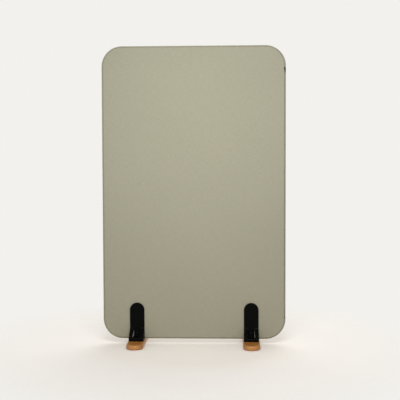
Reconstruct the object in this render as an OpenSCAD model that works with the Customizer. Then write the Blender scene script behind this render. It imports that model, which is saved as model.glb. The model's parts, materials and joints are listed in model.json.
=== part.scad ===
// Free-standing acoustic divider screen: an upholstered panel on two clamp feet with wooden bars.
// The origin is on the floor under the middle of the panel, +Z is up and the front faces -Y.

/* [Panel] */
// Width of the covered panel
panel_w = 1000; // [760:10:1600]
// Height of the covered panel
panel_h = 1600; // [1000:10:2000]
// Corner radius of the panel, seen from the front
corner_r = 110; // [80:5:140]
// Rounding of the covered edge, front and rear
edge_r = 12; // [10:0.5:14]
// Thickness of the fabric cover
cover_t = 1.5; // [1:0.1:2]
// Thickness of the wadding under the cover
wadding_t = 5; // [4:0.5:7]

/* [Frame] */
// Thickness of the timber frame
frame_t = 27; // [24:1:40]
// Width of the frame members
member_w = 45; // [42:1:60]
// Dowel diameter
dowel_d = 8; // [6:1:10]
// Dowel length
dowel_l = 36; // [30:2:50]
// Distance between the two dowels of a joint
dowel_pitch = 22; // [18:1:26]
// Width of the backing blocks behind the clamp plates
block_w = 90; // [80:2:110]
// Gap round the acoustic slabs
core_gap = 0.3; // [0.1:0.1:1]

/* [Foot bars] */
// Distance from the side of the panel to the middle of a foot
foot_inset = 187; // [170:1:240]
// Length of a foot bar, front to back
bar_l = 380; // [320:5:500]
// Width of a foot bar
bar_w = 93; // [88:1:120]
// Thickness of a foot bar
bar_t = 26; // [22:1:36]
// Rounding of the bar's upper edge
bar_top_r = 12; // [6:0.5:14]
// Rounding of the bar's lower edge
bar_bottom_r = 8; // [3:0.5:8]
// Thickness of the felt glides
glide_t = 2; // [1:0.5:4]
// Width of a felt glide
glide_w = 56; // [40:1:60]
// Length of a felt glide
glide_l = 36; // [30:1:50]
// Corner radius of a felt glide
glide_r = 10; // [4:1:14]
// Distance from the end of the bar to the glide
glide_inset = 18; // [14:1:40]

/* [Brackets] */
// Width of the clamp plate
plate_w = 80; // [70:1:88]
// Height of the clamp plate above the foot bar
plate_h = 200; // [160:5:260]
// Thickness of the clamp plate
plate_t = 6; // [5:0.5:9]
// Rounding of the plate's outer edge
plate_edge_r = 3; // [1.5:0.5:4]
// Height at which the toe starts to flare out of the plate
boss_h = 60; // [52:1:90]
// Width of the toe
toe_w = 82; // [74:1:90]
// Reach of the toe in front of the plate
toe_d = 66; // [56:1:90]
// Corner radius of the toe, seen from above
toe_corner_r = 8; // [4:1:12]
// Height of the toe's front lip
lip_h = 16; // [14:1:20]
// Width of the pocket between the toe's cheeks
pocket_w = 38; // [32:1:44]
// Rounding of the pocket's lower corners
pocket_r = 8; // [4:1:10]

/* [Fixings] */
// Height of the clamp bolt above the foot bar
bolt_rise = 32; // [28:1:36]
// Clamp bolt diameter
bolt_d = 8; // [6:1:8]
// Clamp bolt length under its head
bolt_l = 36; // [30:1:40]
// Diameter of the clamp bolt's head
bolt_head_d = 14; // [12:0.5:16]
// Height of the clamp bolt's head
bolt_head_h = 4.4; // [3:0.2:6]
// Width across the flats of the clamp bolt's socket
bolt_socket = 5; // [4:0.5:6]
// Outer diameter of the sleeve nut
sleeve_d = 11; // [10:0.5:14]
// Gap between the sleeve nut's end and the front plate
sleeve_gap = 1; // [0.5:0.5:3]
// Toe screw diameter
screw_d = 5; // [4:0.5:6]
// Diameter of the toe screw's head
screw_head_d = 9; // [8:0.5:10]
// Height of the toe screw's head
screw_head_h = 3.5; // [2.5:0.5:4]
// Width across the flats of the toe screw's socket
screw_socket = 3; // [2.5:0.5:4]
// Depth of the counterbore in the underside of the bar
sink_depth = 9; // [6:0.5:12]
// Diameter of the counterbore in the underside of the bar
sink_d = 11; // [10.5:0.5:14]
// Outer diameter of a threaded insert
insert_d = 7; // [6.5:0.5:9]
// Length of a threaded insert
insert_l = 12; // [10:0.5:13]
// Distance of the toe screws from the plate
screw_reach = 30; // [24:1:36]

/* [Zip] */
// Angle of the edge seam on the rounded edge, from the side towards the front
seam_angle = 60; // [50:1:65]
// Reach of the zip tapes from the panel's edge
tape_reach = 16; // [13:1:20]
// Thickness of the zip tapes
tape_t = 0.6; // [0.4:0.1:0.8]
// Width of the closed coil
coil_w = 4.6; // [4:0.2:6]
// Thickness of the coil
coil_t = 1.5; // [1:0.1:2]
// Slit between the two half coils
slit_w = 1; // [0.8:0.1:1.2]
// Length of a zip stop
stop_l = 3; // [2:0.5:5]
// Rise of a zip stop above the coil
stop_rise = 0.6; // [0.3:0.1:0.9]
// Distance from the zip's ends to the round corners
zip_margin = 9; // [2:1:20]
// Length of the slider
slider_l = 9; // [8:0.5:12]
// Width of the slider
slider_w = 8; // [7:0.5:9]
// Width of the slider's tail
slider_tail_w = 5.6; // [5:0.2:7]
// Thickness of the slider's two plates
slider_t = 1; // [0.8:0.1:1.2]
// Width of the slider's middle post
post_w = 0.5; // [0.4:0.05:0.6]
// Length of the slider's middle post
post_l = 3; // [2:0.5:4]
// Diameter of the pull's pin
pin_d = 1.4; // [1.2:0.1:1.6]
// Outer diameter of the pull's eye
eye_d = 3; // [2.6:0.1:3.6]
// Length of the pull's eye
eye_l = 3.6; // [3:0.2:4.2]
// Thickness of the slider's two ears
ear_t = 0.8; // [0.6:0.1:1]
// Length of the pull tab below its pin
pull_l = 20; // [14:1:30]
// Width of the pull tab
pull_w = 5.5; // [4.5:0.5:8]
// Thickness of the pull tab
pull_t = 1; // [0.8:0.1:1.4]
// Diameter of the grip hole in the pull tab
pull_hole_d = 2.4; // [1.5:0.1:3]

/* [Hidden] */
$fn = 96;
hex_fn = 6;

// How far a cutter runs past what it cuts
overrun = 1;
// Radial clearance of bolts, dowels and pins in their holes
fit = 0.05;
// Running clearance round the zip slider
run = 0.3;
// Free end room in a dowel hole
dowel_room = 1;
// Free end room past the tip of a screw or bolt
tip_room = 1;
// Flange of the sleeve nut
flange_h = 3;
socket_depth_share = 0.6;
ear_root_share = 0.8;

panel_t = frame_t + 2 * (wadding_t + cover_t);
panel_z = glide_t + bar_t;
panel_mid_z = panel_z + panel_h / 2;
straight_w = panel_w - 2 * corner_r;
straight_h = panel_h - 2 * corner_r;

frame_inset = cover_t + wadding_t;
member_out = corner_r - frame_inset;
member_in = member_out - member_w;
member_mid = (member_out + member_in) / 2;
cavity_w = straight_w + 2 * member_in;
cavity_h = straight_h + 2 * member_in;

foot_x = panel_w / 2 - foot_inset;
plate_y = panel_t / 2;
plate_front_y = plate_y + plate_t;
cheek_x = (toe_w + pocket_w) / 4;
screw_y = plate_front_y + screw_reach;
bolt_z = panel_z + bolt_rise;
glide_y = bar_l / 2 - glide_inset - glide_l / 2;

edge_u = corner_r - edge_r;
edge_v = panel_t / 2 - edge_r;
tape_out_r = edge_r - cover_t;
tape_in_r = tape_out_r - tape_t;
coil_out_r = tape_out_r + coil_t;
slider_in_r = max(edge_r, coil_out_r) + run;
slider_out_r = slider_in_r + slider_t;
under_out_r = tape_in_r - run;
under_in_r = under_out_r - slider_t;
zip_top = straight_h / 2 - zip_margin;
zip_l = straight_h - 2 * zip_margin;
slider_top = zip_top - stop_l - run;
pin_r = slider_out_r + eye_d / 2 + run;
pin_z = slider_top - slider_l / 2;

// Cross-sections through the panel's edge: x runs outwards from the corner's centre, y from front to rear.

module edge_outline(inset) {
  half = panel_t / 2 - inset;
  depth = corner_r - inset;
  r = edge_r - inset;
  translate([0, -half]) square([depth - r, 2 * half]);
  translate([0, r - half]) square([depth, 2 * (half - r)]);
  for (side = [-1, 1]) translate([depth - r, side * (half - r)]) circle(r);
}

module edge_layer(outer, inner) {
  difference() {
    edge_outline(outer);
    edge_outline(inner);
  }
}

// All that lies in front of the seam
module before_seam() {
  intersection() {
    translate([edge_u, -edge_v]) rotate(-seam_angle)
      translate([-2 * corner_r, -4 * corner_r]) square([4 * corner_r, 4 * corner_r]);
    translate([-corner_r, -panel_t]) square([3 * corner_r, panel_t]);
  }
}

module member_section() {
  difference() {
    edge_outline(frame_inset);
    translate([-overrun, -panel_t]) square([member_in + overrun, 2 * panel_t]);
  }
}

// Runs of such a section: one side, one end and one corner, each on the +X or +Z side

module at_panel() {
  translate([0, 0, panel_mid_z]) children();
}

module side_run() {
  translate([straight_w / 2, 0, -straight_h / 2]) linear_extrude(straight_h) children();
}

module end_run() {
  translate([straight_w / 2, 0, straight_h / 2]) rotate([0, -90, 0]) linear_extrude(straight_w) children();
}

module corner_run() {
  translate([straight_w / 2, 0, straight_h / 2]) rotate([90, 0, 0])
    rotate_extrude(angle = 90) mirror([0, 1]) children();
}

module whole_rim() {
  for (left = [0, 1]) mirror([left, 0, 0]) {
    side_run() children();
    for (low = [0, 1]) mirror([0, 0, low]) corner_run() children();
  }
  for (low = [0, 1]) mirror([0, 0, low]) end_run() children();
}

module face_sheet(outer, inner) {
  translate([-straight_w / 2, outer - panel_t / 2, -straight_h / 2])
    cube([straight_w, inner - outer, straight_h]);
}

// The through holes of the two clamp bolts
module bolt_holes(d) {
  for (side = [-1, 1]) translate([side * foot_x, 0, bolt_z]) rotate([90, 0, 0])
    cylinder(d = d, h = panel_t + 2 * overrun, center = true);
}

// Frame

module dowel_pair(d, l) {
  for (side = [-1, 1]) translate([side * dowel_pitch / 2, 0, 0]) cylinder(d = d, h = l, center = true);
}

module all_dowels(d, l) {
  at_panel() for (left = [0, 1]) mirror([left, 0, 0]) {
    for (low = [0, 1]) mirror([0, 0, low]) {
      translate([straight_w / 2 + member_mid, 0, straight_h / 2]) dowel_pair(d, l);
      translate([straight_w / 2, 0, straight_h / 2 + member_mid]) rotate([0, 90, 0]) dowel_pair(d, l);
    }
    translate([cavity_w / 2, 0, 0]) rotate([0, 90, 0]) dowel_pair(d, l);
  }
}

module dowel_holes() {
  all_dowels(dowel_d + 2 * fit, dowel_l + 2 * dowel_room);
}

module stile(left) {
  color("burlywood") difference() {
    at_panel() mirror([left, 0, 0]) side_run() member_section();
    dowel_holes();
  }
}

module rail(low) {
  color("burlywood") difference() {
    at_panel() mirror([0, 0, low]) end_run() member_section();
    dowel_holes();
    bolt_holes(sleeve_d + 2 * fit);
  }
}

module corner_block(left, low) {
  color("burlywood") difference() {
    at_panel() mirror([left, 0, 0]) mirror([0, 0, low]) corner_run() member_section();
    dowel_holes();
  }
}

module cross_rail() {
  color("burlywood") difference() {
    at_panel() cube([cavity_w, frame_t, member_w], center = true);
    dowel_holes();
  }
}

block_z = panel_z + frame_inset + member_w;
block_top = panel_z + plate_h;

module backing_block(side, gap) {
  translate([side * foot_x - block_w / 2 - gap, -frame_t / 2 - gap, block_z - gap])
    cube([block_w + 2 * gap, frame_t + 2 * gap, block_top - block_z + 2 * gap]);
}

module frame_dowels() {
  color("tan") all_dowels(dowel_d, dowel_l);
}

// Acoustic slabs, cut to the frame's opening

module cavity_outline() {
  r = member_in - core_gap;
  for (size = [[straight_w / 2 + r, straight_h / 2], [straight_w / 2, straight_h / 2 + r]])
    square(2 * size, center = true);
  for (x = [-1, 1], y = [-1, 1]) translate([x * straight_w / 2, y * straight_h / 2]) circle(r);
}

module core_half(low) {
  at_panel() rotate([90, 0, 0]) linear_extrude(frame_t, center = true) intersection() {
    cavity_outline();
    mirror([0, low]) translate([-panel_w / 2, member_w / 2 + core_gap]) square([panel_w, panel_h / 2]);
  }
}

module upper_core() {
  color("dimgray") core_half(0);
}

module lower_core() {
  color("dimgray") difference() {
    core_half(1);
    for (side = [-1, 1]) backing_block(side, core_gap);
  }
}

// Wadding, with room for the zip

module front_wadding() {
  color("ivory") difference() {
    at_panel() {
      whole_rim() intersection() {
        edge_layer(cover_t, frame_inset);
        translate([0, -panel_t / 2]) square([corner_r, panel_t / 2]);
      }
      face_sheet(cover_t, frame_inset);
    }
    along_zip(zip_l) {
      tape_section();
      ring_piece(under_in_r - run, tape_out_r, slider_w + 2 * run);
    }
    bolt_holes(sleeve_d + 2 * fit);
  }
}

module rear_wadding() {
  color("ivory") difference() {
    at_panel() {
      whole_rim() intersection() {
        edge_layer(cover_t, frame_inset);
        square([corner_r, panel_t / 2]);
      }
      mirror([0, 1, 0]) face_sheet(cover_t, frame_inset);
    }
    bolt_holes(sleeve_d + 2 * fit);
  }
}

// Fabric cover: front, rear and the band round the edges, meeting at the seams

module front_skin() {
  whole_rim() intersection() {
    edge_layer(0, cover_t);
    before_seam();
  }
  face_sheet(0, cover_t);
}

module front_cover() {
  color([0.67, 0.66, 0.57]) difference() {
    at_panel() front_skin();
    along_zip(zip_l) coil_slot();
    bolt_holes(sleeve_d + 2 * fit);
  }
}

module rear_cover() {
  color([0.67, 0.66, 0.57]) difference() {
    at_panel() mirror([0, 1, 0]) front_skin();
    bolt_holes(sleeve_d + 2 * fit);
  }
}

module side_band() {
  color([0.62, 0.61, 0.53]) difference() {
    at_panel() whole_rim() difference() {
      edge_layer(0, cover_t);
      before_seam();
      mirror([0, 1]) before_seam();
    }
    along_zip(zip_l) coil_slot();
  }
}

// Zip on the front right edge seam

// Extrudes sections over a length of the zip, down from its top or another height
module along_zip(l, top = zip_top) {
  at_panel() translate([straight_w / 2, 0, top - l]) linear_extrude(l) children();
}

// Part of a ring about the rounded edge's centre, as wide as the arc on the tapes
module ring_piece(r_in, r_out, width, from_seam = 0) {
  turn = 90 / PI * width / tape_out_r;
  middle = 180 / PI * from_seam / tape_out_r - seam_angle;
  far = 2 * r_out;
  translate([edge_u, -edge_v]) rotate(middle) intersection() {
    difference() {
      circle(r_out);
      circle(r_in);
    }
    polygon([[0, 0], far * [cos(turn), -sin(turn)], [far, 0], far * [cos(turn), sin(turn)]]);
  }
}

module coil_slot() {
  ring_piece(tape_out_r - overrun / 2, edge_r + overrun, coil_w + 2 * run);
}

module tape_section() {
  intersection() {
    edge_layer(cover_t, cover_t + tape_t);
    translate([corner_r - tape_reach, -panel_t / 2]) square([tape_reach, tape_reach]);
  }
}

module zip_tapes() {
  color("gray") along_zip(zip_l) difference() {
    tape_section();
    ring_piece(tape_in_r - overrun, tape_out_r + overrun, slit_w);
  }
}

module zip_coil() {
  half_w = (coil_w - slit_w) / 2;
  color("darkslategray") along_zip(zip_l - 2 * stop_l, zip_top - stop_l) for (side = [-1, 1])
    ring_piece(tape_out_r, coil_out_r, half_w, side * (slit_w + half_w) / 2);
}

module zip_stops() {
  color("dimgray") for (top = [zip_top, zip_top - zip_l + stop_l])
    along_zip(stop_l, top) ring_piece(tape_out_r, coil_out_r + stop_rise, coil_w);
}

// Local frame on the zip: x points out of the cover and y across the zip, at the panel's mid height
module at_seam() {
  at_panel() translate([straight_w / 2 + edge_u, -edge_v, 0]) rotate([0, 0, -seam_angle]) children();
}

module slider_ear() {
  root_r = slider_in_r + ear_root_share * slider_t;
  translate([pin_r, 0, pin_z]) rotate([90, 0, 0]) cylinder(d = eye_d, h = ear_t, center = true);
  translate([root_r, -ear_t / 2, pin_z - eye_d / 3]) cube([pin_r - root_r, ear_t, 2 * eye_d / 3]);
}

module zip_slider() {
  ear_y = eye_l / 2 + run + ear_t / 2;
  tail_l = slider_l / 2;
  color("dimgray") {
    for (band = [[slider_in_r, slider_out_r], [under_in_r, under_out_r]]) {
      along_zip(slider_l - tail_l, slider_top) ring_piece(band[0], band[1], slider_w);
      along_zip(slider_l, slider_top) ring_piece(band[0], band[1], slider_tail_w);
    }
    along_zip(post_l, slider_top) ring_piece(under_out_r - slider_t / 2, slider_in_r + slider_t / 2, post_w);
    at_seam() {
      for (side = [-1, 1]) translate([0, side * ear_y, 0]) slider_ear();
      translate([pin_r, 0, pin_z]) rotate([90, 0, 0]) cylinder(d = pin_d, h = 2 * ear_y, center = true);
    }
  }
}

module pull_outline() {
  tab_top = -eye_d;
  hole_y = pull_w / 2 - pull_l;
  translate([-eye_l / 2, tab_top - overrun]) square([eye_l, overrun - tab_top]);
  translate([-pull_w / 2, hole_y]) square([pull_w, tab_top - hole_y]);
  translate([0, hole_y]) circle(d = pull_w);
}

module zip_pull() {
  color("dimgray") at_seam() translate([pin_r, 0, pin_z]) difference() {
    union() {
      rotate([90, 0, 0]) cylinder(d = eye_d, h = eye_l, center = true);
      translate([-pull_t / 2, 0, 0]) rotate([90, 0, 90]) linear_extrude(pull_t) difference() {
        pull_outline();
        translate([0, pull_w / 2 - pull_l]) circle(d = pull_hole_d);
      }
    }
    rotate([90, 0, 0]) cylinder(d = pin_d + 2 * fit, h = eye_l + overrun, center = true);
  }
}

// Foot bars

module bar_half_section() {
  reach = bar_w / 2;
  square([reach - bar_top_r, bar_t]);
  translate([0, bar_bottom_r]) square([reach, bar_t - bar_top_r - bar_bottom_r]);
  square([reach - bar_bottom_r, bar_t / 2]);
  translate([reach - bar_top_r, bar_t - bar_top_r]) circle(bar_top_r);
  translate([reach - bar_bottom_r, bar_bottom_r]) circle(bar_bottom_r);
}

// The half section without what the corner circles carry past the bar's middle
module bar_section_right() {
  intersection() {
    bar_half_section();
    square([bar_w / 2, bar_t]);
  }
}

module bar_body() {
  straight = bar_l - bar_w;
  for (left = [0, 1]) mirror([left, 0, 0]) translate([0, straight / 2, 0]) rotate([90, 0, 0])
    linear_extrude(straight) bar_section_right();
  for (rear = [0, 1]) mirror([0, rear, 0]) translate([0, -straight / 2, 0]) rotate([0, 0, 180])
    rotate_extrude(angle = 180) bar_section_right();
}

module at_screws() {
  for (x = [-1, 1], y = [-1, 1]) translate([x * cheek_x, y * screw_y, 0]) children();
}

module foot_bar(side) {
  color("peru") translate([side * foot_x, 0, glide_t]) difference() {
    bar_body();
    at_screws() {
      translate([0, 0, -overrun]) cylinder(d = screw_d + 2 * fit, h = bar_t + 2 * overrun);
      translate([0, 0, -overrun]) cylinder(d = sink_d, h = sink_depth + overrun);
    }
  }
}

module glide(side, rear) {
  color("dimgray") translate([side * foot_x, rear * glide_y, 0]) linear_extrude(glide_t) {
    square([glide_w, glide_l - 2 * glide_r], center = true);
    square([glide_w - 2 * glide_r, glide_l], center = true);
    for (x = [-1, 1], y = [-1, 1])
      translate([x * (glide_w / 2 - glide_r), y * (glide_l / 2 - glide_r)]) circle(glide_r);
  }
}

// Clamp brackets. In a bracket's own frame y is zero on its clamping face and its toe points to -Y.

module plate_half_section() {
  square([plate_w / 2 - plate_edge_r, plate_t]);
  square([plate_w / 2, plate_t - plate_edge_r]);
  translate([plate_w / 2 - plate_edge_r, plate_t - plate_edge_r]) circle(plate_edge_r);
}

module plate_section_right() {
  intersection() {
    plate_half_section();
    square([plate_w / 2, plate_t]);
  }
}

module bracket_plate() {
  straight = plate_h - plate_w / 2;
  for (left = [0, 1]) mirror([left, 0, 0]) linear_extrude(straight) mirror([0, 1]) plate_section_right();
  translate([0, 0, straight]) rotate([90, 0, 0]) rotate_extrude(angle = 180) plate_section_right();
}

module toe_plan() {
  reach = plate_t / 2 + toe_d;
  translate([-toe_w / 2, toe_corner_r - reach]) square([toe_w, reach - toe_corner_r]);
  translate([toe_corner_r - toe_w / 2, -reach]) square([toe_w - 2 * toe_corner_r, reach]);
  for (x = [-1, 1]) translate([x * (toe_w / 2 - toe_corner_r), toe_corner_r - reach]) circle(toe_corner_r);
}

module toe_profile() {
  polygon([[0, 0], [-toe_d, 0], [-toe_d, lip_h], [0, boss_h], [plate_t / 2, boss_h], [plate_t / 2, 0]]);
}

module toe_front() {
  polygon([[-toe_w / 2, 0], [toe_w / 2, 0], [plate_w / 2, boss_h], [-plate_w / 2, boss_h]]);
}

module pocket_front() {
  translate([-pocket_w / 2, lip_h + pocket_r]) square([pocket_w, boss_h]);
  translate([pocket_r - pocket_w / 2, lip_h]) square([pocket_w - 2 * pocket_r, boss_h]);
  for (x = [-1, 1]) translate([x * (pocket_w / 2 - pocket_r), lip_h + pocket_r]) circle(pocket_r);
}

module bracket_toe() {
  translate([0, -plate_t, 0]) difference() {
    intersection() {
      translate([-toe_w / 2, 0, 0]) rotate([90, 0, 90]) linear_extrude(toe_w) toe_profile();
      translate([0, plate_t, 0]) rotate([90, 0, 0]) linear_extrude(plate_t + toe_d + overrun) toe_front();
      translate([0, plate_t / 2, 0]) linear_extrude(boss_h) toe_plan();
    }
    rotate([90, 0, 0]) linear_extrude(toe_d + overrun) pocket_front();
  }
}

// The sleeve nut passes the rear plate and the bolt passes the front one
module bracket(side, rear) {
  hole_d = rear ? sleeve_d : bolt_d;
  color([0.09, 0.09, 0.09]) translate([side * foot_x, 0, panel_z]) mirror([0, rear ? 1 : 0, 0])
    translate([0, -plate_y, 0]) difference() {
      union() {
        bracket_plate();
        bracket_toe();
      }
      translate([0, overrun, bolt_rise]) rotate([90, 0, 0])
        cylinder(d = hole_d + 2 * fit, h = plate_t + 2 * overrun);
      for (x = [-1, 1]) translate([x * cheek_x, -plate_t - screw_reach, -overrun])
        cylinder(d = insert_d, h = insert_l + overrun);
    }
}

// Fixings

module hex_socket(flats, depth) {
  cylinder(d = flats / cos(30), h = depth, $fn = hex_fn);
}

module clamp_bolt(side) {
  color("silver") translate([side * foot_x, -plate_front_y, bolt_z]) rotate([90, 0, 0]) difference() {
    union() {
      cylinder(d = bolt_head_d, h = bolt_head_h);
      translate([0, 0, -bolt_l]) cylinder(d = bolt_d, h = bolt_l);
    }
    translate([0, 0, bolt_head_h * (1 - socket_depth_share)]) hex_socket(bolt_socket, bolt_head_h);
  }
}

module sleeve_nut(side) {
  sleeve_l = plate_front_y + plate_y - sleeve_gap;
  thread_l = bolt_l - plate_t - sleeve_gap + tip_room;
  color("silver") translate([side * foot_x, plate_front_y, bolt_z]) rotate([-90, 0, 0]) difference() {
    union() {
      cylinder(d = bolt_head_d, h = flange_h);
      translate([0, 0, -sleeve_l]) cylinder(d = sleeve_d, h = sleeve_l);
    }
    translate([0, 0, -sleeve_l - overrun]) cylinder(d = bolt_d + 2 * fit, h = thread_l + overrun);
    translate([0, 0, flange_h * (1 - socket_depth_share)]) hex_socket(bolt_socket, flange_h);
  }
}

module toe_screws() {
  screw_l = bar_t - sink_depth + insert_l - tip_room;
  color("silver") for (side = [-1, 1]) translate([side * foot_x, 0, glide_t + sink_depth]) at_screws()
    difference() {
      union() {
        cylinder(d = screw_d, h = screw_l);
        translate([0, 0, -screw_head_h]) cylinder(d = screw_head_d, h = screw_head_h);
      }
      translate([0, 0, -screw_head_h * (2 - socket_depth_share)]) hex_socket(screw_socket, screw_head_h);
    }
}

module toe_inserts() {
  color("goldenrod") for (side = [-1, 1]) translate([side * foot_x, 0, panel_z]) at_screws() difference() {
    cylinder(d = insert_d, h = insert_l);
    translate([0, 0, -overrun]) cylinder(d = screw_d + 2 * fit, h = insert_l + 2 * overrun);
  }
}

stile(1);  // stile_left
stile(0);  // stile_right
rail(0);  // top_rail
rail(1);  // bottom_rail
cross_rail();
corner_block(1, 0);  // corner_block_top_left
corner_block(0, 0);  // corner_block_top_right
corner_block(1, 1);  // corner_block_bottom_left
corner_block(0, 1);  // corner_block_bottom_right
color("tan") backing_block(-1, 0);  // backing_block_left
color("tan") backing_block(1, 0);  // backing_block_right
frame_dowels();
lower_core();
upper_core();
front_wadding();
rear_wadding();
front_cover();
rear_cover();
side_band();
zip_tapes();
zip_coil();
zip_stops();
zip_slider();
zip_pull();
foot_bar(-1);  // foot_bar_left
foot_bar(1);  // foot_bar_right
bracket(-1, false);  // front_bracket_left
bracket(1, false);  // front_bracket_right
bracket(-1, true);  // rear_bracket_left
bracket(1, true);  // rear_bracket_right
clamp_bolt(-1);  // clamp_bolt_left
clamp_bolt(1);  // clamp_bolt_right
sleeve_nut(-1);  // sleeve_nut_left
sleeve_nut(1);  // sleeve_nut_right
toe_screws();
toe_inserts();
glide(-1, -1);  // front_glide_left
glide(1, -1);  // front_glide_right
glide(-1, 1);  // rear_glide_left
glide(1, 1);  // rear_glide_right
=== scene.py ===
# Looks of the acoustic divider screen: an upholstered panel on two clamp feet with oiled oak bars
import json

import bmesh
import bpy
import numpy as np
from mathutils import Matrix

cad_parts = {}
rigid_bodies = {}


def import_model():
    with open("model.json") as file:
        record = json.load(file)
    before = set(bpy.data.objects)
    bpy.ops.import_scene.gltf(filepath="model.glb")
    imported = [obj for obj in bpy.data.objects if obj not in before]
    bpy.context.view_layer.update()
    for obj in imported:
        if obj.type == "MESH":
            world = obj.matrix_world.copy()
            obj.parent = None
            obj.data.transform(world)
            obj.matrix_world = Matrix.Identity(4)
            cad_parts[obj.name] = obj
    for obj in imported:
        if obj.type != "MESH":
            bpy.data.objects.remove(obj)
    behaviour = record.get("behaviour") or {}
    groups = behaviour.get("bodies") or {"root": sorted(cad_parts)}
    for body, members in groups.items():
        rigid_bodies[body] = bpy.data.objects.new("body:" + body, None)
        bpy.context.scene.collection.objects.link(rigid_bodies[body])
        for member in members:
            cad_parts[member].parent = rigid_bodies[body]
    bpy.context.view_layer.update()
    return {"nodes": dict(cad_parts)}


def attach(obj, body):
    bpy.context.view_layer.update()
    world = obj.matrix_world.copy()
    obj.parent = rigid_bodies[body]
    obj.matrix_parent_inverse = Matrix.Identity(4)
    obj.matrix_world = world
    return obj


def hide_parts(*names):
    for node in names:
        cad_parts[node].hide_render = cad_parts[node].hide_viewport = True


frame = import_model()

MM = 0.001

# Sizes of the covered panel, in metres
PANEL_W = 1000 * MM
PANEL_H = 1600 * MM
PANEL_T = 40 * MM
PANEL_Z = 28 * MM
CORNER_R = 110 * MM
EDGE_R = 12 * MM
COVER_T = 1.5 * MM
WADDING_T = 5 * MM
SEAM_ANGLE = np.radians(60)
MID_Z = PANEL_Z + PANEL_H / 2

# Half of the outline's straight stretches, and how far the rounded edge's centre lies outside the corner's
STRAIGHT = np.array([PANEL_W / 2 - CORNER_R, PANEL_H / 2 - CORNER_R])
EDGE_OUT = CORNER_R - EDGE_R

# Distances along the surface from the side's middle, to the end of the flat side, the seam and the face
V_SIDE = PANEL_T / 2 - EDGE_R
V_SEAM = V_SIDE + EDGE_R * SEAM_ANGLE
V_FACE = V_SIDE + EDGE_R * np.pi / 2
RIM_REACH = 14 * MM
V_RIM = V_FACE + RIM_REACH

# Side and name of each foot, and of the parts in front of the panel and behind it
FEET = ((-1, "left"), (1, "right"))
FACINGS = ((-1, "front"), (1, "rear"))

# Sizes of the feet
FOOT_X = 313 * MM
PLATE_R = 40 * MM
PLATE_T = 6 * MM
PLATE_H = 200 * MM
PLATE_EDGE = 3 * MM
TOE_HALF = 41 * MM
TOE_REACH = 66 * MM
TOE_CORNER = 7.5 * MM
LIP_ROUNDING = 7.5 * MM
LIP_H = 16 * MM
BOSS_H = 60 * MM
POCKET_HALF = 19 * MM
POCKET_R = 8 * MM
POCKET_DRAFT = 0.06
BOLT_Z = 60 * MM
CHEEK_X = 30 * MM
SCREW_Y = 56 * MM
SCREW_HOLE_R = 2.55 * MM
COUNTERBORE_R = 5.5 * MM
COUNTERBORE_DEPTH = 9 * MM
BAR_HALF = 46.5 * MM
BAR_LENGTH = 380 * MM
BAR_LOW = 2 * MM
BAR_T = 26 * MM
BAR_TOP_R = 12 * MM
BAR_BOTTOM_R = 8 * MM
GLIDE_Y = 154 * MM
GLIDE_HALF = (28 * MM, 18 * MM)
GLIDE_CORNER = 10 * MM

# Share of its colour that the cloth keeps at a seam, as painted shade of the seam's groove, and how far from
# the seam that reaches
SEAM_SHADE = 0.6
SEAM_SHADE_HALF = 1.3 * MM

# Share of a painted highlight on a foot bar's rounded ends, and where it starts and stops, in and down
END_HIGHLIGHT_SHARE = 0.45
END_HIGHLIGHT_REACH = (2 * MM, 20 * MM)
END_HIGHLIGHT_DROP = (0.5 * MM, 6 * MM)

# Sizes of the zip, its tapes from TAPE_FROM to TAPE_TO along the surface
ZIP_LOW = 147 * MM
ZIP_HIGH = 1509 * MM
STOP_L = 3 * MM
TAPE_R = EDGE_R - COVER_T
TAPE_T = 0.6 * MM
TAPE_FROM = 4 * MM
TAPE_TO = V_FACE + 4 * MM
SLOT_HALF = 2.6 * MM * EDGE_R / TAPE_R
SLIT_HALF = 0.5 * MM * EDGE_R / TAPE_R


# Camera, and how objects come into the scene

FOCAL_PX = 800
FRAME_PX = 400
SENSOR = 36
CAMERA_PLACE = (0.2065, -4.3718, 0.9918)
CAMERA_YAW = -0.0395
CAMERA_PITCH = 0.0458
CAMERA_ROLL = -0.0031


def add_object(name, data):
    """A new object, linked to the scene."""
    made = bpy.data.objects.new(name, data)
    bpy.context.scene.collection.objects.link(made)
    return made


def stand(name, data, axes, place):
    """A new camera or lamp, from its x, y and z axes and its place."""
    matrix = np.eye(4)
    matrix[:3, :3] = np.column_stack(axes)
    matrix[:3, 3] = place
    made = add_object(name, data)
    made.matrix_world = Matrix(matrix.tolist())
    return made


def make_camera():
    """Camera at the photograph's place: the view direction from yaw and pitch, then rolled about itself."""
    yaw, pitch, roll = CAMERA_YAW, CAMERA_PITCH, CAMERA_ROLL
    ahead = np.array([np.sin(yaw) * np.cos(pitch), np.cos(yaw) * np.cos(pitch), -np.sin(pitch)])
    right = np.array([np.cos(yaw), -np.sin(yaw), 0])
    up = np.cross(right, ahead)
    side = np.cos(roll) * right + np.sin(roll) * up
    top = np.cos(roll) * up - np.sin(roll) * right
    data = bpy.data.cameras.new("camera")
    data.sensor_width = SENSOR
    data.lens = FOCAL_PX * SENSOR / FRAME_PX
    bpy.context.scene.camera = stand("camera", data, (side, top, -ahead), CAMERA_PLACE)


make_camera()


# Making meshes from grids of points

def grid_faces(rows, columns, start, around):
    """Four-sided faces of a grid of points numbered row by row; around joins the last column to the first."""
    index = start + np.arange(rows * columns).reshape(rows, columns)
    if around:
        index = np.hstack([index, index[:, :1]])
    corners = [index[:-1, :-1], index[:-1, 1:], index[1:, 1:], index[1:, :-1]]
    return np.stack([c.ravel() for c in corners], axis=1)


def grid_mesh(name, spots, around):
    """A mesh of one grid of points."""
    mesh = bpy.data.meshes.new(name)
    faces = grid_faces(*spots.shape[:2], 0, around)
    mesh.from_pydata(spots.reshape(-1, 3).tolist(), [], faces.tolist())
    return mesh


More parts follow.
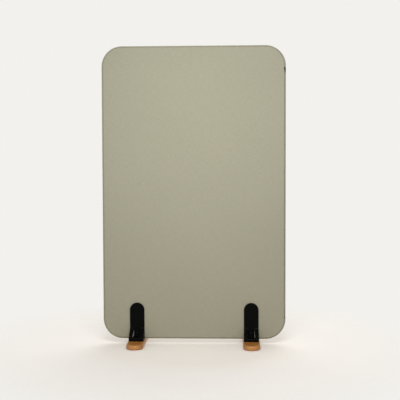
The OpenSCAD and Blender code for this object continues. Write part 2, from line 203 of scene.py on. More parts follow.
def make_piece(name, node, grids, material):
    """One piece in place of a CAD node, from grids, each (points, flat coordinates or None, around).

    Rows of points become faces, doubles are merged, which closes seams and poles, and the faces are
    turned outwards."""
    points, flats, faces, start = [], [], [], 0
    for spots, flat, around in grids:
        rows, columns = spots.shape[:2]
        faces.append(grid_faces(rows, columns, start, around))
        points.append(spots.reshape(-1, 3))
        flats.append(np.zeros((rows * columns, 2)) if flat is None else flat.reshape(-1, 2))
        start += rows * columns
    points, flats, faces = np.concatenate(points), np.concatenate(flats), np.concatenate(faces)
    mesh = bpy.data.meshes.new(name)
    mesh.vertices.add(len(points))
    mesh.vertices.foreach_set("co", points.astype(np.float32).ravel())
    mesh.loops.add(faces.size)
    mesh.loops.foreach_set("vertex_index", faces.astype(np.int32).ravel())
    mesh.polygons.add(len(faces))
    mesh.polygons.foreach_set("loop_start", np.arange(0, faces.size, 4, dtype=np.int32))
    mesh.update(calc_edges=True)
    if any(flat is not None for _, flat, _ in grids):
        layer = mesh.uv_layers.new(name="cut")
        layer.uv.foreach_set("vector", flats[faces.ravel()].astype(np.float32).ravel())
    close_up(mesh)
    return finish_piece(add_object(name, mesh), node, material)


def close_up(mesh):
    """Merges doubles, drops what is left of faces without area and turns all faces outwards."""
    near = 1e-7
    shell = bmesh.new()
    shell.from_mesh(mesh)
    bmesh.ops.remove_doubles(shell, verts=shell.verts, dist=2 * near)
    bmesh.ops.dissolve_degenerate(shell, dist=near, edges=shell.edges)
    bmesh.ops.recalc_face_normals(shell, faces=shell.faces)
    if shell.calc_volume(signed=True) < 0:
        bmesh.ops.reverse_faces(shell, faces=shell.faces)
    shell.to_mesh(mesh)
    shell.free()
    mesh.shade_smooth()


def finish_piece(piece, node, material, body="screen"):
    """Gives the piece its finish and ties it to its CAD body and node."""
    piece.data.materials.clear()
    piece.data.materials.append(material)
    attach(piece, body)
    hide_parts(node)
    return piece


def apply_modifiers(piece):
    """Turns the piece's modifiers into its mesh."""
    bpy.context.view_layer.update()
    made = bpy.data.meshes.new_from_object(piece.evaluated_get(bpy.context.evaluated_depsgraph_get()))
    piece.modifiers.clear()
    piece.data = made


def spread(count, density):
    """count + 1 fractions from -1 to 1, spaced as the inverse of density(fraction)."""
    samples = 8001
    fine = np.linspace(-1, 1, samples)
    weight = density(fine)
    total = np.concatenate([[0], np.cumsum((weight[1:] + weight[:-1]) / 2)])
    return np.interp(np.linspace(0, total[-1], count + 1), total, fine)


def rounded_frame(end, side, arc):
    """Rounded rectangle in unit terms, anticlockwise from the middle of its lower left corner.

    A point of the outline is centre * (half straight lengths) + normal * radius. end and side are the
    fractions along the straights, arc the number of steps in half a corner."""
    steps = np.linspace(0, np.pi / 4, arc + 1)
    centres, normals = [], []
    for turn, straight in enumerate([end, side, end, side]):
        along = straight if turn < 2 else -straight[::-1]
        lead = turn * np.pi / 2 - 3 * np.pi / 4
        angle = np.concatenate([lead + steps, np.full(len(along) - 2, lead + np.pi / 4),
                                lead + np.pi / 4 + steps])
        ahead = np.concatenate([np.full(arc + 1, -1.0), along[1:-1], np.full(arc + 1, 1.0)])
        c, s = np.round(np.cos(turn * np.pi / 2)), np.round(np.sin(turn * np.pi / 2))
        centre = np.stack([c * ahead + s, s * ahead - c], axis=1)
        centres.append(centre[:-1])
        normals.append(np.stack([np.cos(angle), np.sin(angle)], axis=1)[:-1])
    return np.concatenate(centres), np.concatenate(normals)


def inset_loops(half, radius, insets, unit_outline):
    """Loops of a rounded rectangle, each moved in by an inset, down to a line along its middle.

    The corner radius shrinks with the inset, but stays at half the remaining half width or more, so that
    no corner turns sharp before the loop closes."""
    centre, normal = unit_outline
    insets = np.asarray(insets)[:, None, None]
    left = np.maximum(np.asarray(half) - insets, 0)
    small = left.min(axis=2, keepdims=True)
    r = np.minimum(np.maximum(radius - insets, small / 2), small)
    return centre * (left - r) + normal * r


def quarter(radius, steps):
    """Sine and cosine steps of a rounded edge: (radius * (1 - sin), radius * (1 - cos)) of the angle."""
    angle = np.linspace(0, np.pi / 2, steps + 1)
    return radius * (1 - np.sin(angle)), radius * (1 - np.cos(angle))


def smooth_step(t):
    """3t^2 - 2t^3 between 0 and 1."""
    t = np.clip(t, 0, 1)
    return t * t * (3 - 2 * t)


def bell(t):
    """exp(-t^2): 1 at 0 and less to both sides."""
    return np.exp(-(t ** 2))


def rising(t):
    """1 - exp(-t): 0 at 0 and close to 1 a few steps further on."""
    return 1 - np.exp(-t)


# Materials: node helpers

def tone(red, green, blue):
    """A display colour, 0 to 255, as the linear colour that a shader takes."""
    c = np.array([red, green, blue]) / 255
    linear = np.where(c <= 0.04045, c / 12.92, ((c + 0.055) / 1.055) ** 2.4)
    return (*linear.tolist(), 1.0)


def connect(tree, node, sockets):
    """Sets a node's inputs to values, or links them to other nodes' outputs."""
    for key, value in dict(sockets).items():
        if isinstance(value, bpy.types.NodeSocket):
            tree.links.new(value, node.inputs[key])
        else:
            node.inputs[key].default_value = value


def put(tree, kind, sockets=(), **settings):
    """Adds a node with its settings, and sets or links its inputs."""
    node = tree.nodes.new("ShaderNode" + kind)
    for key, value in settings.items():
        setattr(node, key, value)
    connect(tree, node, sockets)
    return node


def calc(tree, operation, first, second=0.5, third=0.5):
    """The result of a Math node."""
    return put(tree, "Math", {0: first, 1: second, 2: third}, operation=operation).outputs[0]


def times(tree, first, second):
    """first times second."""
    return calc(tree, "MULTIPLY", first, second)


def ranged(tree, value, low, high, to_low=0.0, to_high=1.0):
    """value taken from low..high to to_low..to_high, held at the ends."""
    names = {"Value": value, "From Min": low, "From Max": high, "To Min": to_low, "To Max": to_high}
    return put(tree, "MapRange", names).outputs["Result"]


def either(tree, share, first, second):
    """first where share is 0 and second where it is 1."""
    return put(tree, "Mix", {0: share, 2: first, 3: second}, data_type="FLOAT").outputs[0]


def blend_colours(tree, share, first, second):
    """The first colour where share is 0, the second where it is 1, and between them their mixture."""
    return put(tree, "Mix", {0: share, 6: first, 7: second}, data_type="RGBA").outputs[2]


def stretched(tree, vector, by):
    """vector with each part multiplied by a factor of its own."""
    return put(tree, "VectorMath", {0: vector, 1: by}, operation="MULTIPLY").outputs[0]


def scaled(tree, vector, factor):
    """A vector or a colour times one number."""
    return put(tree, "VectorMath", {0: vector, "Scale": factor}, operation="SCALE").outputs[0]


def noise(tree, vector, scale, detail=2.0, roughness=0.5):
    """Value of a Noise texture."""
    sockets = {"Vector": vector, "Scale": scale, "Detail": detail, "Roughness": roughness}
    return put(tree, "TexNoise", sockets).outputs["Fac"]


def marked(tree, name):
    """The value that mark_attribute gives the points of a piece."""
    return put(tree, "Attribute", attribute_name=name).outputs["Fac"]


def new_group(name, inputs, outputs):
    """An empty node group with number and vector inputs and number outputs; gives its inputs and its end."""
    group = bpy.data.node_groups.new(name, "ShaderNodeTree")
    for label, value in inputs.items():
        kind = "NodeSocketVector" if value is None else "NodeSocketFloat"
        socket = group.interface.new_socket(name=label, in_out="INPUT", socket_type=kind)
        if value is not None:
            socket.default_value = value
    for label in outputs:
        group.interface.new_socket(name=label, in_out="OUTPUT", socket_type="NodeSocketFloat")
    start = group.nodes.new("NodeGroupInput")
    return group, start.outputs, group.nodes.new("NodeGroupOutput")


def weave_group():
    """Plain weave: warp and weft threads cross over and under each other in a checker of cells.

    Height is the upper thread's round crown, Thread the colour drift along single threads and Drift the
    broad drift over the whole cloth."""
    inputs = {"Cut": None, "Threads per metre": 1000.0}
    group, given, end = new_group("Weave", inputs, ["Height", "Thread", "Drift"])
    cloth = scaled(group, given["Cut"], given["Threads per metre"])
    x, y, _ = put(group, "SeparateXYZ", {0: cloth}).outputs
    crown_x, crown_y = [calc(group, "ABSOLUTE", calc(group, "SINE", times(group, t, np.pi))) for t in (x, y)]
    cells = calc(group, "ADD", calc(group, "FLOOR", x), calc(group, "FLOOR", y))
    warp_up = calc(group, "FLOORED_MODULO", cells, 2.0)
    dip = 0.45
    warp = times(group, crown_x, calc(group, "MULTIPLY_ADD", crown_y, dip, 1 - dip))
    weft = times(group, crown_y, calc(group, "MULTIPLY_ADD", crown_x, dip, 1 - dip))
    per_thread, along_thread = 0.9, 0.03
    warp_tint = noise(group, stretched(group, cloth, (per_thread, along_thread, 1)), 1.0)
    weft_tint = noise(group, stretched(group, cloth, (along_thread, per_thread, 1)), 1.0)
    connect(group, end, {
        "Height": either(group, warp_up, weft, warp),
        "Thread": either(group, warp_up, weft_tint, warp_tint),
        "Drift": noise(group, given["Cut"], 2.6, 3.0),
    })
    return group


def grain_group():
    """Wood with its fibres along Z: year rings about a pith beside the piece, fibres and open pores."""
    inputs = {"Place": None, "Ring spacing": 4 * MM, "Pore size": 0.6 * MM}
    group, given, end = new_group("Grain", inputs, ["Rings", "Fibres", "Pores", "Height"])
    place = given["Place"]
    pith_x, pith_y = -90 * MM, -30 * MM
    sway, bow, ripple = 50 * MM, 30 * MM, 11 * MM
    wander = noise(group, stretched(group, place, (6, 6, 1.2)), 1.0, 2.0)
    waver = noise(group, stretched(group, place, (40, 40, 5)), 1.0, 2.0)
    x, y, _ = put(group, "SeparateXYZ", {0: place}).outputs
    from_pith_x = calc(group, "SUBTRACT", x, pith_x)
    from_pith_y = calc(group, "MULTIPLY_ADD", wander, sway, calc(group, "SUBTRACT", y, pith_y))
    squares = [calc(group, "POWER", t, 2.0) for t in (from_pith_x, from_pith_y)]
    radius = calc(group, "SQRT", calc(group, "ADD", *squares))
    bent = calc(group, "MULTIPLY_ADD", waver, ripple, calc(group, "MULTIPLY_ADD", wander, bow, radius))
    ring = calc(group, "FRACT", calc(group, "DIVIDE", bent, given["Ring spacing"]))
    fibres = noise(group, stretched(group, place, (1, 1, 0.025)), 1400.0, 3.0, 0.6)
    pore_scale = calc(group, "DIVIDE", 1.0, given["Pore size"])
    pore = noise(group, stretched(group, place, (1, 1, 0.035)), pore_scale, 1.0)
    pores = ranged(group, pore, 0.62, 0.72)
    height = calc(group, "SUBTRACT", times(group, fibres, 0.35), times(group, pores, 0.65))
    late = calc(group, "POWER", ring, 2.2)
    connect(group, end, {"Rings": late, "Fibres": fibres, "Pores": pores, "Height": height})
    return group


def fibre_group():
    """Matted fibres: bent fine noise with short strands in every direction."""
    group, given, end = new_group("Matted fibres", {"Place": None, "Fibre size": 1 * MM}, ["Height", "Tint"])
    curl = 4 * MM
    place = given["Place"]
    scale = calc(group, "DIVIDE", 1.0, given["Fibre size"])
    bend = put(group, "TexNoise", {"Vector": place, "Scale": 300.0, "Detail": 2.0}).outputs["Color"]
    shift = {0: bend, 1: (curl, curl, curl), 2: place}
    bent = put(group, "VectorMath", shift, operation="MULTIPLY_ADD").outputs[0]
    strands = noise(group, bent, scale, 4.0, 0.7)
    clumps = noise(group, place, 60.0, 3.0)
    tint = calc(group, "MULTIPLY_ADD", clumps, 0.5, times(group, strands, 0.5))
    connect(group, end, {"Height": strands, "Tint": tint})
    return group


def surface_group():
    """Finish of hard parts: fine texture, broad unevenness of the gloss and wear on the outer edges."""
    inputs = {"Place": None, "Texture size": 0.6 * MM}
    group, given, end = new_group("Hard surface", inputs, ["Height", "Unevenness", "Wear"])
    place = given["Place"]
    texture = noise(group, place, calc(group, "DIVIDE", 1.0, given["Texture size"]), 2.0)
    uneven = noise(group, place, 45.0, 4.0, 0.6)
    edge = ranged(group, put(group, "NewGeometry").outputs["Pointiness"], 0.54, 0.62)
    patchy = ranged(group, noise(group, place, 220.0, 4.0, 0.7), 0.42, 0.66)
    connect(group, end, {"Height": texture, "Unevenness": uneven, "Wear": times(group, edge, patchy)})
    return group


WEAVE = weave_group()
GRAIN = grain_group()
FIBRES = fibre_group()
SURFACE = surface_group()


def new_material(name, roughness=0.5, **constants):
    """A material with a Principled shader, its plain values set on the shader's own sockets."""
    material = bpy.data.materials.new(name)
    material.use_nodes = True
    tree = material.node_tree
    shader = tree.nodes["Principled BSDF"]
    shader.inputs["Roughness"].default_value = roughness
    for key, value in constants.items():
        shader.inputs[key.replace("_", " ")].default_value = value
    return material, tree, shader


def use_group(tree, group, sockets):
    """Places a node group in a material and returns its outputs."""
    return put(tree, "Group", sockets, node_tree=group).outputs


def add_bump(tree, shader, height, depth):
    """Bump of a real depth in metres on the shader's normal."""
    bump = put(tree, "Bump", {"Height": height, "Distance": depth, "Strength": 1.0})
    connect(tree, shader, {"Normal": bump.outputs[0]})


def own_place(tree, turn=(0, 0, 0)):
    """Object coordinates, turned so that Z runs along the grain."""
    coordinate = put(tree, "TexCoord").outputs["Object"]
    return put(tree, "Mapping", {"Vector": coordinate, "Rotation": turn}).outputs[0]


def cloth_material(name, dark, light, threads, depth):
    """Woven cloth: two thread tones drifting along the threads, painted shade in the gaps between threads,
    and the weave as bump.

    Where the piece's seam attribute says so, the cloth is darker with painted shade of the seam's groove."""
    material, tree, shader = new_material(name, roughness=0.88, Sheen_Weight=0.12, Sheen_Roughness=0.5,
                                          Specular_IOR_Level=0.25)
    cut = put(tree, "UVMap", uv_map="cut").outputs[0]
    weave = use_group(tree, WEAVE, {"Cut": cut, "Threads per metre": threads})
    colour = blend_colours(tree, ranged(tree, weave["Thread"], 0.3, 0.7), dark, light)
    # Painted shade: darker where the weave sinks between threads
    shade = ranged(tree, weave["Height"], 0.0, 0.7, 0.82, 1.03)
    broad = ranged(tree, weave["Drift"], 0.3, 0.7, 0.985, 1.015)
    # Painted shade beside the seams
    seam = ranged(tree, marked(tree, "seam"), 0.0, 1.0, 1.0, SEAM_SHADE)
    colour = scaled(tree, colour, times(tree, times(tree, shade, broad), seam))
    connect(tree, shader, {"Base Color": colour})
    add_bump(tree, shader, weave["Height"], depth)
    return material


def felt_material(name, dark, light, fibre, depth, sheen=0.1, facing=None):
    """Felt or fleece: matted fibres in two tones.

    facing is the colour of a strip glued on it where the piece's facing attribute says so."""
    material, tree, shader = new_material(name, roughness=0.95, Sheen_Weight=sheen, Specular_IOR_Level=0.15)
    out = use_group(tree, FIBRES, {"Place": own_place(tree), "Fibre size": fibre})
    colour = blend_colours(tree, ranged(tree, out["Tint"], 0.35, 0.65), dark, light)
    if facing:
        colour = blend_colours(tree, marked(tree, "facing"), colour, facing)
    connect(tree, shader, {"Base Color": colour})
    add_bump(tree, shader, out["Height"], depth)
    return material


def end_highlight_share(tree):
    """Share of the painted highlight on a foot bar: on its ends, from a little under its top downwards."""
    spot = put(tree, "SeparateXYZ", {0: own_place(tree)}).outputs
    end, top = BAR_LENGTH / 2, BAR_LOW + BAR_T
    at_end = ranged(tree, calc(tree, "ABSOLUTE", spot["Y"]), end - END_HIGHLIGHT_REACH[1], end - END_HIGHLIGHT_REACH[0])
    low = ranged(tree, spot["Z"], top - END_HIGHLIGHT_DROP[0], top - END_HIGHLIGHT_DROP[1])
    return times(tree, times(tree, at_end, low), END_HIGHLIGHT_SHARE)


def wood_material(name, early, late, pore, turn, spacing=4 * MM, pore_size=0.6 * MM, roughness=0.5,
                  gloss=0.0, ring_share=0.55, end_highlight=None):
    """Wood: early and late wood of each year ring, fibre streaks and dark pores, smoother on late wood.

    The colour given for the bars' ends is a painted highlight on their rounding."""
    material, tree, shader = new_material(name, Coat_Weight=gloss, Coat_Roughness=0.35)
    sockets = {"Place": own_place(tree, turn), "Ring spacing": spacing, "Pore size": pore_size}
    out = use_group(tree, GRAIN, sockets)
    colour = blend_colours(tree, times(tree, out["Rings"], ring_share), early, late)
    colour = scaled(tree, colour, ranged(tree, out["Fibres"], 0.3, 0.7, 0.88, 1.1))
    colour = blend_colours(tree, times(tree, out["Pores"], 0.45), colour, pore)
    # Painted highlight on the rounded ends of the foot bars
    if end_highlight:
        colour = blend_colours(tree, end_highlight_share(tree), colour, end_highlight)
    dullness = ranged(tree, out["Rings"], 0.0, 1.0, roughness + 0.07, roughness - 0.05)
    connect(tree, shader, {"Base Color": colour, "Roughness": dullness})
    add_bump(tree, shader, out["Height"], depth=0.12 * MM)
    return material


def hard_material(name, colour, worn, roughness, texture=0.5 * MM, depth=0.02 * MM, metallic=0.0, wear=0.5,
                  wall_highlight=None, **constants):
    """Moulded plastic or finished metal: fine texture, uneven gloss and slight wear along the edges.

    The colour given for the pocket wall is a painted highlight, laid on in streaks where the piece's
    attribute marks it."""
    material, tree, shader = new_material(name, Metallic=metallic, **constants)
    place = own_place(tree)
    out = use_group(tree, SURFACE, {"Place": place, "Texture size": texture})
    colour = blend_colours(tree, times(tree, out["Wear"], wear), colour, worn)
    # Painted highlight streaks on the pocket's outer wall
    if wall_highlight:
        fine = noise(tree, stretched(tree, place, (1, 0.15, 1)), 500.0, 3.0)
        streaks = ranged(tree, fine, 0.3, 0.6, 0.5, 1.0)
        colour = blend_colours(tree, times(tree, marked(tree, "wall_highlight_mask"), streaks), colour, wall_highlight)
    dullness = ranged(tree, out["Unevenness"], 0.3, 0.7, roughness - 0.05, roughness + 0.06)
    connect(tree, shader, {"Base Color": colour, "Roughness": dullness})
    add_bump(tree, shader, out["Height"], depth)
    return material


# Turns that lay the grain along a piece's own axis
ALONG_Z = (0, 0, 0)
ALONG_Y = (np.pi / 2, 0, 0)
ALONG_X = (0, np.pi / 2, 0)

# Threads in a metre of the cover's cloth, and of the zip's tape
THREADS = 1150.0
TAPE_THREADS = 1800.0

PINE = (tone(222, 190, 142), tone(188, 140, 86), tone(150, 105, 60))

FABRIC = cloth_material("sage_fabric", tone(163, 160, 139), tone(185, 181, 160), THREADS, depth=0.18 * MM)
# The side band's cloth is the cover's, with tones a little darker as painted shade
SHADED_BAND_FABRIC = cloth_material("sage_band_fabric", tone(160, 157, 136), tone(182, 178, 157), THREADS,
                             depth=0.18 * MM)
ZIP_TAPE = cloth_material("zip_tape_cloth", tone(170, 167, 147), tone(186, 183, 162), TAPE_THREADS,
                          depth=0.1 * MM)
FLEECE = felt_material("white_fleece", tone(226, 224, 215), tone(245, 243, 236), fibre=0.9 * MM,
                       depth=0.4 * MM, sheen=0.2, facing=tone(156, 153, 133))
SLAB_FELT = felt_material("grey_slab_felt", tone(82, 84, 87), tone(112, 114, 117), fibre=1.2 * MM,
                          depth=0.5 * MM)
GLIDE_FELT = felt_material("dark_glide_felt", tone(58, 56, 54), tone(84, 81, 78), fibre=0.8 * MM,
                           depth=0.3 * MM)
PINE_UP = wood_material("pine_upright", *PINE, ALONG_Z)
PINE_ACROSS = wood_material("pine_across", *PINE, ALONG_X)
PLYWOOD = wood_material("birch_plywood", tone(222, 198, 158), tone(196, 164, 118), tone(150, 118, 80),
                        ALONG_Z, spacing=1.5 * MM, ring_share=0.4)
BEECH = wood_material("turned_beech", tone(214, 172, 132), tone(190, 140, 98), tone(140, 92, 58),
                      ALONG_Z, spacing=3 * MM, pore_size=0.4 * MM)
# Oiled oak, with a painted highlight on the foot bars' rounded ends
OAK = wood_material("oiled_oak", tone(180, 119, 54), tone(126, 76, 29), tone(66, 40, 16), ALONG_Y,
                    spacing=4.5 * MM, pore_size=0.7 * MM, roughness=0.36, gloss=0.25, ring_share=0.5,
                    end_highlight=tone(224, 160, 88))
# Black nylon of the brackets, with a painted highlight on their pocket walls
BLACK_NYLON = hard_material("black_nylon", tone(9, 9, 9), tone(34, 34, 33), roughness=0.36,
                            texture=0.7 * MM, depth=0.04 * MM, wear=0.35, wall_highlight=tone(218, 215, 208),
                            Specular_IOR_Level=0.04)
BLACK_STEEL = hard_material("black_steel", tone(11, 11, 11), tone(64, 63, 61), roughness=0.42,
                            Specular_IOR_Level=0.12)
ZINC_STEEL = hard_material("zinc_steel", tone(192, 193, 196), tone(216, 216, 218), roughness=0.3,
                           metallic=1.0)
BRASS = hard_material("turned_brass", tone(203, 170, 100), tone(226, 200, 140), roughness=0.28,
                      metallic=1.0)
DARK_ZINC = hard_material("dark_zinc", tone(20, 19, 17), tone(84, 82, 78), roughness=0.4,
                          Specular_IOR_Level=0.25)
ZIP_NYLON = hard_material("zip_nylon", tone(180, 177, 156), tone(192, 189, 169), roughness=0.42)


# The covered panel's surface

# Plates press the cover, and the points of the outline lie closer together beside them and at the zip's ends
PLATE_SHARE = FOOT_X / STRAIGHT[0]
ZIP_SHARE = (ZIP_HIGH - MID_Z) / STRAIGHT[1]
ARC_STEPS = 12
END_FRACTIONS = spread(126, lambda f: 1 + 1.1 * bell((np.abs(f) - PLATE_SHARE) / 0.15))
SIDE_FRACTIONS = spread(176, lambda f: 1 + 1.2 * bell((f + 1) / 0.16)
                        + 4 * bell((np.abs(f) - ZIP_SHARE) / 0.007))
RIM = rounded_frame(END_FRACTIONS, SIDE_FRACTIONS, ARC_STEPS)
ENDS = len(END_FRACTIONS) - 1 + 2 * ARC_STEPS
SIDES = len(SIDE_FRACTIONS) - 1 + 2 * ARC_STEPS

# Relief of the cover's faces, and the distances over which it comes and goes
CROWN = 1.2 * MM
CROWN_RUN = 40 * MM
PUCKER = 0.35 * MM
PUCKER_X, PUCKER_Z, PUCKER_ASLANT = 7.9 * MM, 8.7 * MM, 13.1 * MM
PUCKER_START = 3 * MM
PUCKER_RUN = 11 * MM
SLACK = 0.12 * MM
SLACK_X, SLACK_Z = 61 * MM, 83 * MM
SLACK_RUN = 50 * MM
BULGE = 0.9 * MM
BULGE_AWAY = 8 * MM
BULGE_HALF = 6 * MM
PLATE_FREE = 26 * MM
PRESSED = 0.1 * MM

# Relief of the side band
BAND_CROWN = 0.5 * MM
BAND_CROWN_RUN = 5 * MM
BAND_PUCKER = 0.1 * MM
BAND_PUCKER_WAVES = (8.3 * MM, 12.7 * MM)
BAND_PUCKER_RUN = 9 * MM
BAR_FREE = 12 * MM
BAR_NEAR = 30 * MM

# Seams: groove and gap between two cloths, hem beside the zip, and allowances inside
GROOVE = 2.3 * MM
GROOVE_HALF = 2 * MM
HEM = 0.6 * MM
HEM_RUN = 0.7 * MM
SEAM_GAP = 0.06 * MM
COVER_ALLOWANCE = 10 * MM

# Least thickness of the drawn cloth, play between layers, and room that the wadding leaves the tape
LEAST_CLOTH = 0.5 * MM
PLAY = 0.1 * MM
TAPE_ROOM = 6 * MM


def outline(out):
    """The panel's outline in x and z, at a distance outwards from its corners' centres."""
    return RIM[0] * STRAIGHT + RIM[1] * out + np.array([0, MID_Z])


def section(v, depth):
    """Cross-section of the panel's edge at a distance v along the surface from the side's middle.

    A flat side, a quarter round of the edge's radius less depth, then the flat face. Gives the distance
    outwards from the corner's centre and y; positive v is towards the front, which faces -y."""
    reach = np.abs(v)
    angle = np.clip((reach - V_SIDE) / EDGE_R, 0, np.pi / 2)
    radius = EDGE_R - depth
    out = EDGE_OUT + radius * np.cos(angle) - np.maximum(reach - V_FACE, 0)
    y = np.minimum(reach, V_SIDE) + radius * np.sin(angle)
    return out, -np.sign(v) * y


def rim_points(v, depth):
    """The edge's section carried round the panel's outline: centre * straight + normal * outward distance."""
    out, y = section(v, depth)
    flat = outline(out[..., None])
    return np.stack([flat[..., 0], y, flat[..., 1]], axis=-1)


def rim_cut(v):
    """Place on the flat cut of the cloth, the rounded edge unrolled outwards."""
    return outline((EDGE_OUT + V_FACE - np.abs(v))[..., None])


def face_sheet(loop):
    """Points inside a closed outline by blending its edges.

    Bottom and top are blended by height and left and right by width, less the part that the corners give
    twice."""
    bottom, right = loop[:ENDS + 1], loop[ENDS:ENDS + SIDES + 1]
    top = loop[ENDS + SIDES:2 * ENDS + SIDES + 1][::-1]
    left = np.concatenate([loop[2 * ENDS + SIDES:], loop[:1]])[::-1]
    across = ((bottom[:, 0] - bottom[0, 0]) / (bottom[-1, 0] - bottom[0, 0]))[None, :, None]
    up = ((left[:, 1] - left[0, 1]) / (left[-1, 1] - left[0, 1]))[:, None, None]
    ends = (1 - up) * bottom[None] + up * top[None]
    sides = (1 - across) * left[:, None] + across * right[:, None]
    corners = ((1 - up) * ((1 - across) * bottom[0] + across * bottom[-1])
               + up * ((1 - across) * top[0] + across * top[-1]))
    return ends + sides - corners


def outside_straights(x, z):
    """How far a point lies outside the straight stretches' ends, across and up, negative inside."""
    return np.stack([np.abs(x), np.abs(z - MID_Z)], axis=-1) - STRAIGHT


def surface_reach(x, z):
    """Distance v along the surface of a point of the face, from its distance to the rounded outline."""
    away = outside_straights(x, z)
    outside = np.hypot(np.maximum(away[..., 0], 0), np.maximum(away[..., 1], 0))
    return V_FACE + EDGE_OUT - outside - np.minimum(away.max(axis=-1), 0)


def plate_distance(x, z):
    """Distance outside the nearer clamp plate's round-topped outline, negative under it."""
    across = np.abs(np.abs(x) - FOOT_X)
    above = np.maximum(z - (PANEL_Z + PLATE_H - PLATE_R), 0)
    return np.hypot(across, above) - PLATE_R


def at_zip(x, z):
    """1 along the zip on the right edge and 0 elsewhere, with a short run at its ends."""
    run = 2 * MM
    from_ends = smooth_step((z - ZIP_LOW) / run + 0.5) * smooth_step((ZIP_HIGH - z) / run + 0.5)
    return (x > STRAIGHT[0]) * from_ends


def cloth_lift(x, z, v, phase):
    """How far the cloth stands proud of the CAD face.

    A soft crown that rises behind the seam, puckers that fade inwards from the seam, a slack wave over the
    face, and round each clamp plate a low bulge; under the plate it is pressed flat."""
    inside = np.maximum(v - V_SEAM, 0)
    crown = CROWN * rising(inside / CROWN_RUN)
    waves = (np.sin(x / PUCKER_X + phase) + np.sin(z / PUCKER_Z + 2 * phase)
             + np.sin((x + z) / PUCKER_ASLANT + 3 * phase)) / 3
    puckers = PUCKER * waves * np.exp(-inside / PUCKER_RUN) * rising(inside / PUCKER_START)
    wave = np.sin(x / SLACK_X + phase) * np.sin(z / SLACK_Z + 2 * phase)
    slack = SLACK * wave * rising(inside / SLACK_RUN)
    away = plate_distance(x, z)
    freed = smooth_step(away / PLATE_FREE)
    bulge = BULGE * bell((away - BULGE_AWAY) / BULGE_HALF) * (away > 0) * rising(inside / BULGE_HALF)
    return (crown + puckers + slack) * freed + bulge - PRESSED * (away < 0)


def seam_dip(from_seam, zip_share):
    """Depth beside a seam: a round groove, and along the zip a fold that starts at its opening."""
    groove = GROOVE * bell(from_seam / GROOVE_HALF)
    hem = HEM * np.exp(-np.maximum(from_seam - SLOT_HALF, 0) / HEM_RUN)
    return groove * (1 - zip_share) + hem * zip_share


def cover_depth(x, z, v, phase, zipped):
    """Depth of the cloth's outer side under the CAD face: less its lift, more beside the seam."""
    zip_share = at_zip(x, z) if zipped else 0
    return seam_dip(np.abs(v - V_SEAM), zip_share) - cloth_lift(x, z, v, phase)


# Shares of the way from a layer's edge to the inner end of its rim, on its outer and inner side
OUTER_SHARES = np.array([0, 0.01, 0.025, 0.045, 0.07, 0.1, 0.14, 0.19, 0.25, 0.31, 0.38, 0.46, 0.56,
                         0.67, 0.78, 0.89, 1])
INNER_SHARES = np.array([0, 0.02, 0.06, 0.12, 0.2, 0.31, 0.5, 1])


def half_shell(side, edge, outer, inner):
    """Closed layer on one half of the panel, from its edge at v = edge over the rounded rim and the face.

    outer and inner give the depth of its two sides from x, z and v; side is 1 for front and -1 for rear."""
    grids = []
    for shares, depth in ((OUTER_SHARES, outer), (INNER_SHARES, inner)):
        v = edge + shares[:, None] * (V_RIM - edge)
        cut = rim_cut(v)
        grids.append((rim_points(side * v, depth(cut[..., 0], cut[..., 1], v)), cut, True))
        sheet = face_sheet(outline(EDGE_OUT - RIM_REACH))
        x, z = sheet[..., 0], sheet[..., 1]
        y = -side * (PANEL_T / 2 - depth(x, z, surface_reach(x, z)))
        grids.append((np.stack([x, y, z], axis=-1), sheet, False))
    mouth = [np.stack([grids[0][part][0], grids[2][part][0]]) for part in (0, 1)]
    return grids + [(*mouth, True)]


def mark_attribute(mesh, name, measure):
    """Gives each point of the mesh a value between 0 and 1, worked out from its x, y and z."""
    spots = np.empty(3 * len(mesh.vertices), dtype=np.float32)
    mesh.vertices.foreach_get("co", spots)
    mark = mesh.attributes.new(name, "FLOAT", "POINT")
    mark.data.foreach_set("value", measure(*spots.reshape(-1, 3).T).astype(np.float32))


def seam_shade_mask(x, y, z):
    """1 on a seam and less beside it, from the distance to the seam's angle on the rounded edge; it places
    the cloth's painted seam shade.
    """
    out = np.hypot(*np.maximum(outside_straights(x, z), 0).T) - EDGE_OUT
    angle = np.arctan2(np.abs(y) - V_SIDE, out)
    from_seam = EDGE_R * np.abs(angle - SEAM_ANGLE)
    return bell(from_seam / SEAM_SHADE_HALF) * (out > 0) * (np.abs(y) > V_SIDE)


def make_cover(name, side, phase):
    """A face of the cover, from seam to seam over the padded panel, stretched flat."""
    zipped = side > 0
    opening = at_zip(*outline(CORNER_R).T) if zipped else 0
    edge = V_SEAM + SEAM_GAP + opening * (SLOT_HALF - SEAM_GAP)

    def outer(x, z, v):
        return cover_depth(x, z, v, phase, zipped)

    def inner(x, z, v):
        return np.maximum(COVER_T - PLAY, outer(x, z, v) + LEAST_CLOTH)

    cover = make_piece(name + "_fabric", name, half_shell(side, edge, outer, inner), FABRIC)
    mark_attribute(cover.data, "seam", seam_shade_mask)
    corner = EDGE_OUT + V_FACE - V_SEAM + COVER_ALLOWANCE
    flat = 2 * (STRAIGHT + corner)
    float(flat.prod() - (4 - np.pi) * corner ** 2)


def make_fleece(name, side, phase):
    """Wadding on one half of the frame, from the middle of the side over the rim, under the cover."""
    zipped = side > 0

    def under_cloth(x, z, v):
        return cover_depth(x, z, v, phase, zipped) + LEAST_CLOTH

    def outer(x, z, v):
        under = np.maximum(COVER_T - PLAY, under_cloth(x, z, np.maximum(v, V_SEAM)))
        dip = np.where(v < V_SEAM, under_cloth(x, z, v), under)
        tape = TAPE_T * at_zip(x, z) * (v < V_FACE + TAPE_ROOM) if zipped else 0
        return np.maximum(np.maximum(dip, COVER_T), under) + PLAY + tape

    def inner(x, z, v):
        return np.full(np.shape(v), COVER_T + WADDING_T - PLAY)

    grids = half_shell(side, np.full(len(RIM[0]), PLAY), outer, inner)
    fleece = make_piece(name + "_fleece", name, grids, FLEECE)
    if zipped:
        mark_attribute(fleece.data, "facing", zip_facing)


